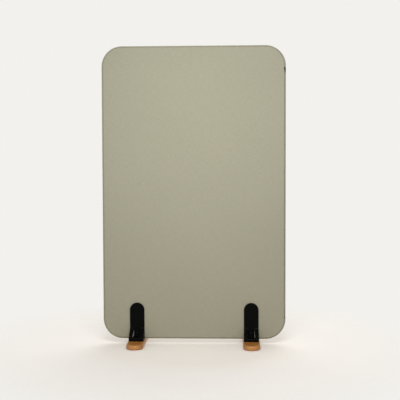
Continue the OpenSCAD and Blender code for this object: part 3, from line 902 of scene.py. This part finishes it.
def zip_facing(x, y, z):
    """1 on the strip of facing behind the zip, on the front right edge, and 0 elsewhere."""
    reach = 10 * MM
    beside = (x > PANEL_W / 2 - EDGE_R - reach) & (y < -V_SIDE / 2)
    return beside & (z > ZIP_LOW - reach) & (z < ZIP_HIGH + reach)


FRONT_PHASE = 0.7
REAR_PHASE = 2.1
make_fleece("front_wadding", 1, FRONT_PHASE)
make_fleece("rear_wadding", -1, REAR_PHASE)
make_cover("front_cover", 1, FRONT_PHASE)
make_cover("rear_cover", -1, REAR_PHASE)


def band_depth(x, z, v, along):
    """Depth of the side band's outer side: grooves at both seams, a soft crown and puckers between them.

    Where it lies on the foot bars it is pressed flat."""
    from_front, from_rear = V_SEAM - v, V_SEAM + v
    near = np.minimum(from_front, from_rear)
    short, long = BAND_PUCKER_WAVES
    waves = np.sin(along / short) + np.sin(along / long + 1.3)
    soft = BAND_CROWN * rising(near / BAND_CROWN_RUN) + BAND_PUCKER * waves * np.exp(-near / BAND_PUCKER_RUN)
    held = smooth_step((np.abs(np.abs(x) - FOOT_X) - BAR_HALF) / BAR_FREE)
    free = np.where(z < PANEL_Z + BAR_NEAR, held, 1)
    return seam_dip(from_front, at_zip(x, z)) + seam_dip(from_rear, 0) - soft * free


def make_band():
    """The band round the panel's four edges, between the two seams, as a closed layer of cloth."""
    place = outline(CORNER_R)
    x, z = place.T
    low = np.full(len(place), -V_SEAM + SEAM_GAP)
    high = V_SEAM - SEAM_GAP - at_zip(x, z) * (SLOT_HALF - SEAM_GAP)
    gaps = np.hypot(*np.diff(np.vstack([place, place[:1]]), axis=0).T)
    along = np.concatenate([[0], np.cumsum(gaps)[:-1]])
    shares = (1 - np.cos(np.linspace(0, np.pi, 27))) / 2
    outer_v = low + shares[:, None] * (high - low)
    inner_v = low + shares[::-2][:, None] * (high - low)
    outer = band_depth(x, z, outer_v, along)
    inner = np.maximum(COVER_T - PLAY, band_depth(x, z, inner_v, along) + LEAST_CLOTH)
    v = np.concatenate([outer_v, inner_v, outer_v[:1]])
    spots = rim_points(v, np.concatenate([outer, inner, outer[:1]]))
    spots = np.concatenate([spots, spots[:, :1]], axis=1)
    along = np.append(along, along[-1] + gaps[-1])
    cut = np.stack(np.broadcast_arrays(along, np.hstack([v, v[:, :1]])), axis=-1)
    band = make_piece("side_band_fabric", "side_band", [(spots, cut, False)], SHADED_BAND_FABRIC)
    mark_attribute(band.data, "seam", seam_shade_mask)


make_band()


# Zip

def seam_points(radius, across, z):
    """Place on the zip: radius from the rounded edge's centre, across it along the tape, and height."""
    angle = across / TAPE_R - SEAM_ANGLE
    x = PANEL_W / 2 - EDGE_R + radius * np.cos(angle)
    y = EDGE_R - PANEL_T / 2 + radius * np.sin(angle)
    return np.stack(np.broadcast_arrays(x, y, z), axis=-1)


def make_coil():
    """Two flattened spirals of filament that face each other across a slit, half a turn apart.

    The filament's centre climbs round an oval: radius + rise * sin(turn), side + reach * cos(turn). A round
    tube follows it, and closes to a point at both ends."""
    filament = 0.3 * MM
    rise, reach = 0.45 * MM, 0.72 * MM
    middle_r, middle_s = TAPE_R + 0.75 * MM, 1.27 * MM
    pitch = 1.6 * MM
    low, high = ZIP_LOW + STOP_L, ZIP_HIGH - STOP_L
    turns = int((high - low - 2 * filament) / pitch)
    per_turn = 9
    tube_sides = 5
    grids = []
    for side in (-1, 1):
        angle = np.linspace(0, 2 * np.pi * turns, turns * per_turn + 1)[:, None]
        shift = np.pi if side > 0 else 0
        sine, cosine = np.sin(angle + shift), np.cos(angle + shift)
        z = low + filament + pitch * angle / (2 * np.pi)
        tangent = np.stack([rise * cosine, -reach * sine, np.full_like(angle, pitch / (2 * np.pi))], axis=-1)
        tangent /= np.linalg.norm(tangent, axis=-1, keepdims=True)
        outward = np.stack([sine * reach, cosine * rise, np.zeros_like(angle)], axis=-1)
        outward -= (outward * tangent).sum(axis=-1, keepdims=True) * tangent
        outward /= np.linalg.norm(outward, axis=-1, keepdims=True)
        beside = np.cross(tangent, outward)
        around = np.linspace(0, 2 * np.pi, tube_sides + 1)[None, :-1, None]
        thickness = np.full((len(angle), 1, 1), filament)
        thickness[[0, -1]] = 0
        tube = thickness * (np.cos(around) * outward + np.sin(around) * beside)
        r = middle_r + rise * sine + tube[..., 0]
        s = side * (middle_s + reach * cosine + tube[..., 1])
        grids.append((seam_points(r, s, z + tube[..., 2]), None, True))
    make_piece("zip_coil_turns", "zip_coil", grids, ZIP_NYLON)


def make_tapes():
    """Woven tape on both sides of the coil, a thin closed strip that follows the rounded edge inside."""
    grids = []
    rows, columns = 41, 19
    heights = np.linspace(ZIP_LOW, ZIP_HIGH, rows)[:, None]
    play = 0.02 * MM
    top, under = COVER_T + play, COVER_T + TAPE_T - play
    middle = (top + under) / 2
    lean = 0.15 * MM
    for start, stop in ((V_SEAM + SLIT_HALF, TAPE_TO), (TAPE_FROM, V_SEAM - SLIT_HALF)):
        run = np.linspace(start + lean, stop - lean, columns)
        v = np.concatenate([[start], run, [stop], run[::-1]])[None]
        depth = np.concatenate([[middle], np.full(columns, top), [middle], np.full(columns, under)])[None]
        out, y = section(v, depth)
        strip = np.stack(np.broadcast_arrays(STRAIGHT[0] + out, y, heights), axis=-1)
        out, y = section(v, np.full_like(v, middle))
        cap = np.stack(np.broadcast_arrays(STRAIGHT[0] + out, y, heights[[0, -1]]), axis=-1)
        spots = np.concatenate([cap[:1], strip, cap[1:]])
        grids.append((spots, np.stack(np.broadcast_arrays(v, spots[..., 2]), axis=-1), True))
    tapes = make_piece("zip_tapes_cloth", "zip_tapes", grids, ZIP_TAPE)


def refined(node, name, material, body, bevel, segments=3):
    """A copy of a CAD node's mesh, merged, with its sharp edges rounded."""
    same_place = 1e-6
    flat_angle, edge_angle, shade_angle = np.radians([1, 35, 40]).tolist()
    mesh = frame["nodes"][node].data.copy()
    shell = bmesh.new()
    shell.from_mesh(mesh)
    bmesh.ops.remove_doubles(shell, verts=shell.verts, dist=same_place)
    bmesh.ops.dissolve_limit(shell, angle_limit=flat_angle, verts=shell.verts, edges=shell.edges)
    shell.to_mesh(mesh)
    shell.free()
    piece = finish_piece(add_object(name, mesh), node, material, body)
    rounding = piece.modifiers.new("rounding", "BEVEL")
    rounding.width = bevel
    rounding.segments = segments
    rounding.limit_method = "ANGLE"
    rounding.angle_limit = edge_angle
    rounding.use_clamp_overlap = True
    apply_modifiers(piece)
    piece.data.shade_smooth()
    piece.data.set_sharp_from_angle(angle=shade_angle)
    return piece


make_coil()
make_tapes()
refined("zip_stops", "zip_stops_pressed", DARK_ZINC, "screen", 0.3 * MM)
refined("zip_slider", "zip_slider_cast", DARK_ZINC, "slider", 0.15 * MM, 2)
refined("zip_pull", "zip_pull_tab", DARK_ZINC, "pull", 0.2 * MM, 2)
for half in ("lower", "upper"):
    slab = refined(half + "_core", half + "_core_slab", SLAB_FELT, "screen", 1.5 * MM)


# Foot bars and glides

def slab_piece(name, node, half, radius, profile, centre, unit_outline, material):
    """Flat solid with a rounded outline: its loops run from a line in the underside round to one on top.

    profile is a row of (inset, height) pairs."""
    insets, heights = np.array(profile).T
    loops = inset_loops(half, radius, insets, unit_outline)
    height = np.broadcast_to(heights[:, None, None], loops.shape[:2] + (1,))
    spots = np.concatenate([loops, height], axis=-1) + np.array(centre)
    return make_piece(name, node, [(spots, None, True)], material)


# Shares of the way from a rounding to the middle of the flat side beside it
FLAT_SHARES = (1, 0.75, 0.5, 0.25, 0.1)


def edge_profile(half, height, low_r, high_r, steps):
    """(inset, height) pairs of a section: flat underside, lower rounding, side, upper rounding, flat top."""
    low_in, low_up = quarter(low_r, steps)
    high_in, high_up = quarter(high_r, steps)
    flat_low = [(half * k + low_r * (1 - k), 0) for k in FLAT_SHARES]
    flat_high = [(half * k + high_r * (1 - k), height) for k in FLAT_SHARES[::-1]]
    low = list(zip(low_in, low_up))
    high = list(zip(high_in[::-1], height - high_up[::-1]))
    return flat_low + low + high + flat_high


def drilled(piece, cutters):
    """The piece less round holes, each (x, y, low, high, radius), from cutters made as turned cylinders."""
    sides = 48
    shade_angle = np.radians(45)
    angle = np.linspace(0, 2 * np.pi, sides + 1)[:-1]
    for x, y, low, high, radius in cutters:
        rings = np.array([(0, low), (radius, low), (radius, high), (0, high)])
        spots = np.stack([x + rings[:, :1] * np.cos(angle), y + rings[:, :1] * np.sin(angle),
                          np.broadcast_to(rings[:, 1:], (len(rings), sides))], axis=-1)
        mesh = grid_mesh("cutter", spots, True)
        close_up(mesh)
        cut = piece.modifiers.new("hole", "BOOLEAN")
        cut.operation = "DIFFERENCE"
        cut.solver = "EXACT"
        cut.object = add_object("cutter", mesh)
    apply_modifiers(piece)
    for cutter in [o for o in bpy.data.objects if o.name.startswith("cutter")]:
        bpy.data.objects.remove(cutter)
    piece.data.shade_smooth()
    piece.data.set_sharp_from_angle(angle=shade_angle)


STADIUM = rounded_frame(np.array([-1.0, 1.0]), np.linspace(-1, 1, 25), 14)
PAD_OUTLINE = rounded_frame(np.linspace(-1, 1, 9), np.linspace(-1, 1, 7), 6)
BAR_PROFILE = edge_profile(BAR_HALF, BAR_T, BAR_BOTTOM_R, BAR_TOP_R, 8)
GLIDE_PROFILE = edge_profile(GLIDE_HALF[1], BAR_LOW, 0.5 * MM, 0.4 * MM, 3)


def make_bar(side, word):
    """A foot bar with a stepped hole for each toe screw, and the two glides under its ends."""
    bar = slab_piece(f"foot_bar_{word}_oak", f"foot_bar_{word}", (BAR_HALF, BAR_LENGTH / 2), BAR_HALF,
                     BAR_PROFILE, (side * FOOT_X, 0, BAR_LOW), STADIUM, OAK)
    overrun = 1 * MM
    spots = [(side * FOOT_X + x * CHEEK_X, y * SCREW_Y) for x in (-1, 1) for y in (-1, 1)]
    counterbores = [(x, y, BAR_LOW - overrun, BAR_LOW + COUNTERBORE_DEPTH, COUNTERBORE_R) for x, y in spots]
    holes = [(x, y, BAR_LOW, BAR_LOW + BAR_T + overrun, SCREW_HOLE_R) for x, y in spots]
    drilled(bar, counterbores + holes)
    for end, place in FACINGS:
        pad = slab_piece(f"{place}_glide_{word}_felt", f"{place}_glide_{word}", GLIDE_HALF, GLIDE_CORNER,
                         GLIDE_PROFILE, (side * FOOT_X, end * GLIDE_Y, 0), PAD_OUTLINE, GLIDE_FELT)


for side, word in FEET:
    make_bar(side, word)


# Clamp brackets

# Roundings: slope into plate, pocket floor in front and behind, underside, pocket's edge and plate's back
SLOPE_R = 16 * MM
FLOOR_FRONT_R = 4 * MM
FLOOR_BACK_R = 3 * MM
UNDER_R = 0.8 * MM
INNER_EDGE = 2 * MM
CHAMFER = 0.5 * MM

# Height over which the toe's wide outer rounding turns into the plate's, and the first columns of the floor
EDGE_RUN = 30 * MM
FLOOR_X = (0, 4 * MM, 8 * MM)

# Places of the columns: up the pocket's wall, over the cheek, back along the side wall and in behind
WALL_SHARES = (0.3, 0.65)
FACE_SHARES = (0.33, 0.67)
SIDE_SHARES = (0.3, 0.65, 1)
BACK_SHARES = (1, 0.7, 0.35, 0)


def round_corner(before, corner, after, radius, count):
    """count points of the arc of that radius which touches both lines that meet at a corner."""
    before, corner, after = (np.array(p, dtype=float) for p in (before, corner, after))
    back = (before - corner) / np.linalg.norm(before - corner)
    on = (after - corner) / np.linalg.norm(after - corner)
    half_angle = np.arccos(np.clip(back @ on, -1, 1)) / 2
    middle = (back + on) / np.linalg.norm(back + on)
    centre = corner + middle * radius / np.sin(half_angle)
    first = corner + back * radius / np.tan(half_angle) - centre
    last = corner + on * radius / np.tan(half_angle) - centre
    share = np.linspace(0, 1, count)[:, None]
    wide = np.pi - 2 * half_angle
    return centre + (np.sin((1 - share) * wide) * first + np.sin(share * wide) * last) / np.sin(wide)


def between(first, last, count):
    """count points between two ends, without them."""
    share = (np.arange(count) + 1)[:, None] / (count + 1)
    return first + share * (last - first)


def bracket_profiles():
    """Side views of the bracket as (distance in front of the plate, height) rows, over cheek and pocket.

    Over a cheek: up the lip, round its top, up the slope and softly into the plate. Over the pocket: up
    the lip, back along the floor and up the plate. Both have as many rows and end in the same point."""
    low, lip, boss, step = (TOE_REACH, 0), (TOE_REACH, LIP_H), (0, BOSS_H), (0, LIP_H)
    lip_round = round_corner(low, lip, boss, LIP_ROUNDING, 9)
    soft = round_corner(lip, boss, (0, PLATE_H), SLOPE_R, 8)
    cheek = np.concatenate([lip_round, between(lip_round[-1], soft[0], 11), soft])
    floor_round = round_corner(low, lip, step, FLOOR_FRONT_R, 9)
    back_round = round_corner(lip, step, boss, FLOOR_BACK_R, 4)
    pocket = np.concatenate([floor_round, between(floor_round[-1], back_round[0], 8), back_round,
                             between(back_round[-1], soft[-1], 6), soft[-1:]])
    return cheek, pocket


def draft(d):
    """How far a pocket wall leans outwards towards its mouth, so that the moulding leaves its tool."""
    return POCKET_DRAFT * (np.clip(d, 0, TOE_REACH) - TOE_REACH / 2)


def bracket_rows():
    """Side views of the loops, over the cheek and over the pocket, from the foot to under the round top.

    Also gives each row's direction outwards, its half width and the radius of its outer edge, and how many
    rows lie under the lip's rounding."""
    cheek, pocket = bracket_profiles()
    foot_in, foot_up = quarter(UNDER_R, 3)
    foot = np.stack([TOE_REACH - foot_in, foot_up], axis=1)
    start = np.concatenate([foot, between(foot[-1], cheek[0], 3)])
    plate = between(cheek[-1], np.array([0, PLATE_H - PLATE_R]), 9)
    over_cheek = np.concatenate([start, cheek, plate])
    over_pocket = np.concatenate([start, pocket, plate])
    tangent = np.gradient(over_cheek, axis=0)
    tangent /= np.linalg.norm(tangent, axis=1, keepdims=True)
    outwards = np.stack([tangent[:, 1], -tangent[:, 0]], axis=1)
    outwards[:len(start)] = (1, 0)
    shrink = np.zeros(len(over_cheek))
    shrink[:len(foot_in)] = foot_in
    height = over_cheek[:, 1]
    half = TOE_HALF + (PLATE_R - TOE_HALF) * np.clip(height / BOSS_H, 0, 1) - shrink
    edge = TOE_CORNER + (PLATE_EDGE - TOE_CORNER) * smooth_step((height - LIP_H) / EDGE_RUN)
    return over_cheek, over_pocket, outwards, half, edge, len(start)


def pocket_columns(over_cheek, over_pocket, under_lip):
    """Columns from the bracket's middle over the pocket's floor and up its wall to its rounded edge.

    The floor turns up at its side by radius * (1 - cos). Wall points lie between the pocket's profile and
    the cheek's, and the edge leaves the cheek's by radius * (1 - cos) inwards and radius * (1 - sin)
    sideways."""
    bend = np.linspace(0, np.pi / 2, 7)
    floor_x = np.concatenate([FLOOR_X, POCKET_HALF - POCKET_R + POCKET_R * np.sin(bend)])
    rise = np.concatenate([np.zeros(len(FLOOR_X)), POCKET_R * (1 - np.cos(bend))])
    d, height = over_pocket.T
    limit = np.interp(-d, -over_cheek[:, 0], over_cheek[:, 1])
    on_floor = (height < BOSS_H) & (np.arange(len(height)) >= under_lip)
    columns = []
    for x, up in zip(floor_x, rise):
        z = np.where(on_floor, np.maximum(height, np.minimum(LIP_H + up, limit)), height)
        columns.append((x + draft(d) * x / POCKET_HALF, d, z))
    drop = np.stack(columns[-1][1:], axis=1) - over_cheek
    deep = np.linalg.norm(drop, axis=1, keepdims=True)
    down = drop / np.maximum(deep, 1e-9)
    for share in WALL_SHARES:
        spot = over_cheek + down * (deep - share * np.maximum(deep - INNER_EDGE, 0))
        columns.append((POCKET_HALF + draft(spot[:, 0]), spot[:, 0], spot[:, 1]))
    for angle in np.linspace(np.pi / 2, 0, 5):
        spot = over_cheek + down * np.minimum(INNER_EDGE * (1 - np.cos(angle)), deep)
        x = POCKET_HALF + draft(spot[:, 0]) + INNER_EDGE * (1 - np.sin(angle))
        columns.append((x, spot[:, 0], spot[:, 1]))
    return columns


def cheek_columns(over_cheek, outwards, half, edge, pocket_edge):
    """Columns from the pocket's edge over cheek, rounded outer edge and side wall to the back's middle.

    The outer edge leaves the cheek's profile by radius * (1 - cos) inwards and radius * (1 - sin)
    sideways."""
    columns = []
    for share in FACE_SHARES:
        columns.append((pocket_edge * (1 - share) + (half - edge) * share, *over_cheek.T))
    for angle in np.linspace(0, np.pi / 2, 7):
        spot = over_cheek - outwards * (edge * (1 - np.cos(angle)))[:, None]
        columns.append((half - edge * (1 - np.sin(angle)), spot[:, 0], spot[:, 1]))
    x, d, z = columns[-1]
    for share in SIDE_SHARES:
        columns.append((x, d + share * (CHAMFER - PLATE_T - d), z))
    for share in BACK_SHARES:
        columns.append(((x - CHAMFER) * share, np.full(len(z), -PLATE_T), z))
    return columns


def bracket_skin():
    """The bracket's whole surface as rows of closed loops, x across, d in front of the plate and z up.

    Each loop runs from the middle of the front over pocket floor, pocket wall, rounded inner edge, cheek,
    rounded outer edge and side wall to the back, and the left half mirrors the right. The first row is one
    point, which closes the underside."""
    over_cheek, over_pocket, outwards, half, edge, under_lip = bracket_rows()
    columns = pocket_columns(over_cheek, over_pocket, under_lip)
    columns += cheek_columns(over_cheek, outwards, half, edge, columns[-1][0])
    flank = np.stack([np.stack(c, axis=1) for c in columns], axis=1)
    flank = np.concatenate([flank, bracket_arch(flank[-1])])
    flank[:, 0, 0] = 0
    mirrored = flank[:, -2:0:-1] * np.array([-1, 1, 1])
    skin = np.concatenate([flank, mirrored], axis=1)
    middle = np.broadcast_to([0, TOE_REACH / 2, 0], skin[:1].shape)
    return np.concatenate([middle, skin])


def bracket_arch(last):
    """Rows over the plate's round top: x shrinks as the cosine and z climbs as the sine of an angle.

    In front the plate's edge is rounded by its distance to the arch."""
    near = 1e-6
    angle = np.radians(np.concatenate([np.linspace(0, 60, 11)[1:], np.linspace(60, 90, 11)[1:]]))[:, None]
    x = last[None, :, 0] * np.cos(angle)
    last_d = last[None, :, 1]
    radius = np.where(last_d < CHAMFER - PLATE_T - near, PLATE_R - CHAMFER, PLATE_R)
    z = PLATE_H - PLATE_R + radius * np.sin(angle)
    from_edge = PLATE_R - np.hypot(x, z - (PLATE_H - PLATE_R))
    dip = PLATE_EDGE - np.sqrt(np.maximum(PLATE_EDGE ** 2 - np.maximum(PLATE_EDGE - from_edge, 0) ** 2, 0))
    d = np.where(last_d > -PLATE_EDGE - near, -np.clip(dip, 0, PLATE_EDGE), last_d)
    return np.stack([x, d, z], axis=-1)


def make_brackets():
    """Four brackets: the same skin in front, and mirrored behind, on both foot bars."""
    skin = bracket_skin()
    for side, word in FEET:
        for facing, place in FACINGS:
            x = skin[..., 0] + side * FOOT_X
            y = facing * (PANEL_T / 2 + PLATE_T + skin[..., 1])
            spots = np.stack([x, y, skin[..., 2] + PANEL_Z], axis=-1)
            bracket = make_piece(f"{place}_bracket_{word}_moulded", f"{place}_bracket_{word}",
                                 [(spots, None, True)], BLACK_NYLON)
            # Where the painted highlight lies on this bracket
            mark_attribute(bracket.data, "wall_highlight_mask", wall_highlight_measure(side))


def wall_highlight_measure(side):
    """Measure of where the painted highlight lies on the outer pocket wall.

    1 close to that wall's x, and less towards its upper edge, its foot and the plate."""
    near = 0.3 * MM
    edge_run, foot_run, plate_run = 6 * MM, 9 * MM, 8 * MM

    def measure(x, y, z):
        d = np.abs(y) - PANEL_T / 2 - PLATE_T
        up = z - PANEL_Z
        on_wall = np.abs(side * x - FOOT_X - POCKET_HALF - draft(d)) < near
        under_edge = BOSS_H + (LIP_H - BOSS_H) * d / TOE_REACH - up
        fading = smooth_step(under_edge / edge_run) * smooth_step((up - LIP_H) / foot_run)
        return on_wall * fading * smooth_step(d / plate_run)
    return measure


make_brackets()


# Clamp bolts and sleeve nuts

# Side views of the fixings as (radius, height above the plate) pairs, in millimetres
HEAD_R = 7
DOME_R = 2.6
BOLT_RIM = 1.6
SLEEVE_END = -45
dome_in, dome_up = quarter(DOME_R, 6)
BOLT_PROFILE = [
    (0, -36), (3.2, -36), (4, -35.2), (4, -12), (4, 0), (6.8, 0), (HEAD_R, 0.2),
    *zip(HEAD_R - dome_in[::-1], BOLT_RIM + DOME_R - dome_up[::-1]),
    (3.3, 4.4), (2.75, 4.3), (2.5, 4), (2.5, 1.8), (0, 1.6),
]
NUT_PROFILE = [
    (0, -15), (4.05, -15), (4.05, SLEEVE_END + 0.5), (4.5, SLEEVE_END), (5.1, SLEEVE_END),
    (5.5, SLEEVE_END + 0.4), (5.5, 0), (6.8, 0), (HEAD_R, 0.2), (HEAD_R, 1.6), (6.8, 2.3), (6.3, 2.8),
    (5.6, 3), (3.3, 3), (2.75, 2.9), (2.5, 2.6), (2.5, 1.2), (0, 1.2),
]

# Pairs of both profiles that stand for the hexagon socket
SOCKET_ROWS = [-4, -3, -2]


def turned_rings(profile):
    """Rings of a turned part from its side view; those of its socket are six-sided.

    A six-sided ring's radius is its half width over flats divided by the cosine of the angle from the
    nearest flat's middle."""
    sides = 72
    angle = np.linspace(0, 2 * np.pi, sides + 1)[:-1]
    radius, height = np.array(profile).T * MM
    shape = np.ones((len(profile), sides))
    shape[SOCKET_ROWS] /= np.cos(np.mod(angle, np.pi / 3) - np.pi / 6)
    r = radius[:, None] * shape
    return r * np.cos(angle), r * np.sin(angle), np.broadcast_to(height[:, None], r.shape)


def make_fixing(name, node, profile, facing, side):
    """A turned part on the clamp axis, its head on the plate that faces that way."""
    shade_angle = np.radians(50)
    across, up, out = turned_rings(profile)
    y = facing * (PANEL_T / 2 + PLATE_T + out)
    spots = np.stack([side * FOOT_X + across, y, BOLT_Z + up], axis=-1)
    piece = make_piece(name, node, [(spots, None, True)], BLACK_STEEL)
    piece.data.set_sharp_from_angle(angle=shade_angle)


for side, word in FEET:
    make_fixing(f"clamp_bolt_{word}_domed", f"clamp_bolt_{word}", BOLT_PROFILE, -1, side)
    make_fixing(f"sleeve_nut_{word}_turned", f"sleeve_nut_{word}", NUT_PROFILE, 1, side)


# Finishes of the CAD parts that stay

CORNER_BLOCKS = [f"corner_block_{level}_{side}" for level in ("top", "bottom") for side in ("left", "right")]
FINISHES = (
    (PINE_UP, ["stile_left", "stile_right"] + CORNER_BLOCKS),
    (PINE_ACROSS, ["top_rail", "bottom_rail", "cross_rail"]),
    (PLYWOOD, ["backing_block_left", "backing_block_right"]),
    (BEECH, ["frame_dowels"]),
    (ZINC_STEEL, ["toe_screws"]),
    (BRASS, ["toe_inserts"]),
)
for finish, nodes in FINISHES:
    for node in nodes:
        for holder in frame["nodes"][node].material_slots:
            holder.material = finish


# Floor, background and light

# Tone and strength of the light from all sides, and strength of the floor's own glow where it is seen
ROOM_TONE = (1.0, 0.985, 0.96, 1.0)
ROOM_LIGHT = 0.44
FLOOR_GLOW = 0.13

# Half width of the floor, its points along a side, and where it starts and ends to fade, in metres
FLOOR_HALF = 6
FLOOR_POINTS = 13
FADE_FROM, FADE_TO = 0.45, 1.4


def rays_seen(tree):
    """1 for rays that show the background: from the camera, in gloss and through glass."""
    path = put(tree, "LightPath").outputs
    seen = calc(tree, "ADD", path["Is Camera Ray"], path["Is Glossy Ray"])
    return calc(tree, "MINIMUM", calc(tree, "ADD", seen, path["Is Transmission Ray"]), 1.0)


def make_world():
    """Pale background for what is seen, and an even, weaker light for what is lit."""
    world = bpy.data.worlds.new("studio")
    world.use_nodes = True
    bpy.context.scene.world = world
    tree = world.node_tree
    tree.nodes.clear()
    seen = put(tree, "Background", {"Color": tone(243, 241, 237), "Strength": 1.0})
    lit = put(tree, "Background", {"Color": ROOM_TONE, "Strength": ROOM_LIGHT})
    mixed = put(tree, "MixShader", {0: rays_seen(tree), 1: lit.outputs[0], 2: seen.outputs[0]})
    connect(tree, tree.nodes.new("ShaderNodeOutputWorld"), {"Surface": mixed.outputs[0]})


def make_floor():
    """Wide pale floor that fades into the background away from the object.

    It is a little paler where it is seen than where it throws light back on the object."""
    steps = np.linspace(-FLOOR_HALF, FLOOR_HALF, FLOOR_POINTS)
    x, y = np.meshgrid(steps, steps)
    floor = add_object("floor", grid_mesh("floor", np.stack([x, y, np.zeros_like(x)], axis=-1), False))
    material, tree, shader = new_material("floor_paint", roughness=0.9, Specular_IOR_Level=0.1,
                                          Emission_Color=tone(251, 242, 234))
    place = put(tree, "TexCoord").outputs["Object"]
    distance = put(tree, "VectorMath", {0: place}, operation="LENGTH").outputs["Value"]
    uneven = ranged(tree, noise(tree, place, 3.0, 3.0), 0.3, 0.7)
    connect(tree, shader, {
        "Base Color": blend_colours(tree, uneven, tone(249, 244, 238), tone(252, 247, 241)),
        "Emission Strength": times(tree, rays_seen(tree), FLOOR_GLOW),
        "Alpha": ranged(tree, distance, FADE_FROM, FADE_TO, 1.0, 0.0),
    })
    floor.data.materials.append(material)


def add_lamp(name, place, towards, size, power, spread_degrees=180, colour=(1.0, 1.0, 1.0)):
    """A square soft lamp that faces a point; a narrower spread lights the edges of the object less."""
    data = bpy.data.lights.new(name, "AREA")
    data.size = size
    data.energy = power
    data.spread = np.radians(spread_degrees)
    data.color = colour
    place, towards = np.array(place, dtype=float), np.array(towards, dtype=float)
    back = (place - towards) / np.linalg.norm(place - towards)
    right = np.cross([0, 0, 1], back)
    right /= np.linalg.norm(right)
    stand(name, data, (right, np.cross(back, right), back), place)


make_world()
make_floor()
add_lamp("key", place=(0.1, -1.95, 1.95), towards=(0.02, 0, 0.98), size=1.1, power=10.6,
         spread_degrees=100, colour=(0.988, 1.0, 1.0))
add_lamp("fill_rear", place=(0.5, 2.6, 2.8), towards=(0, 0, 0.9), size=3.2, power=55)

bpy.context.scene.view_settings.view_transform = "Standard"
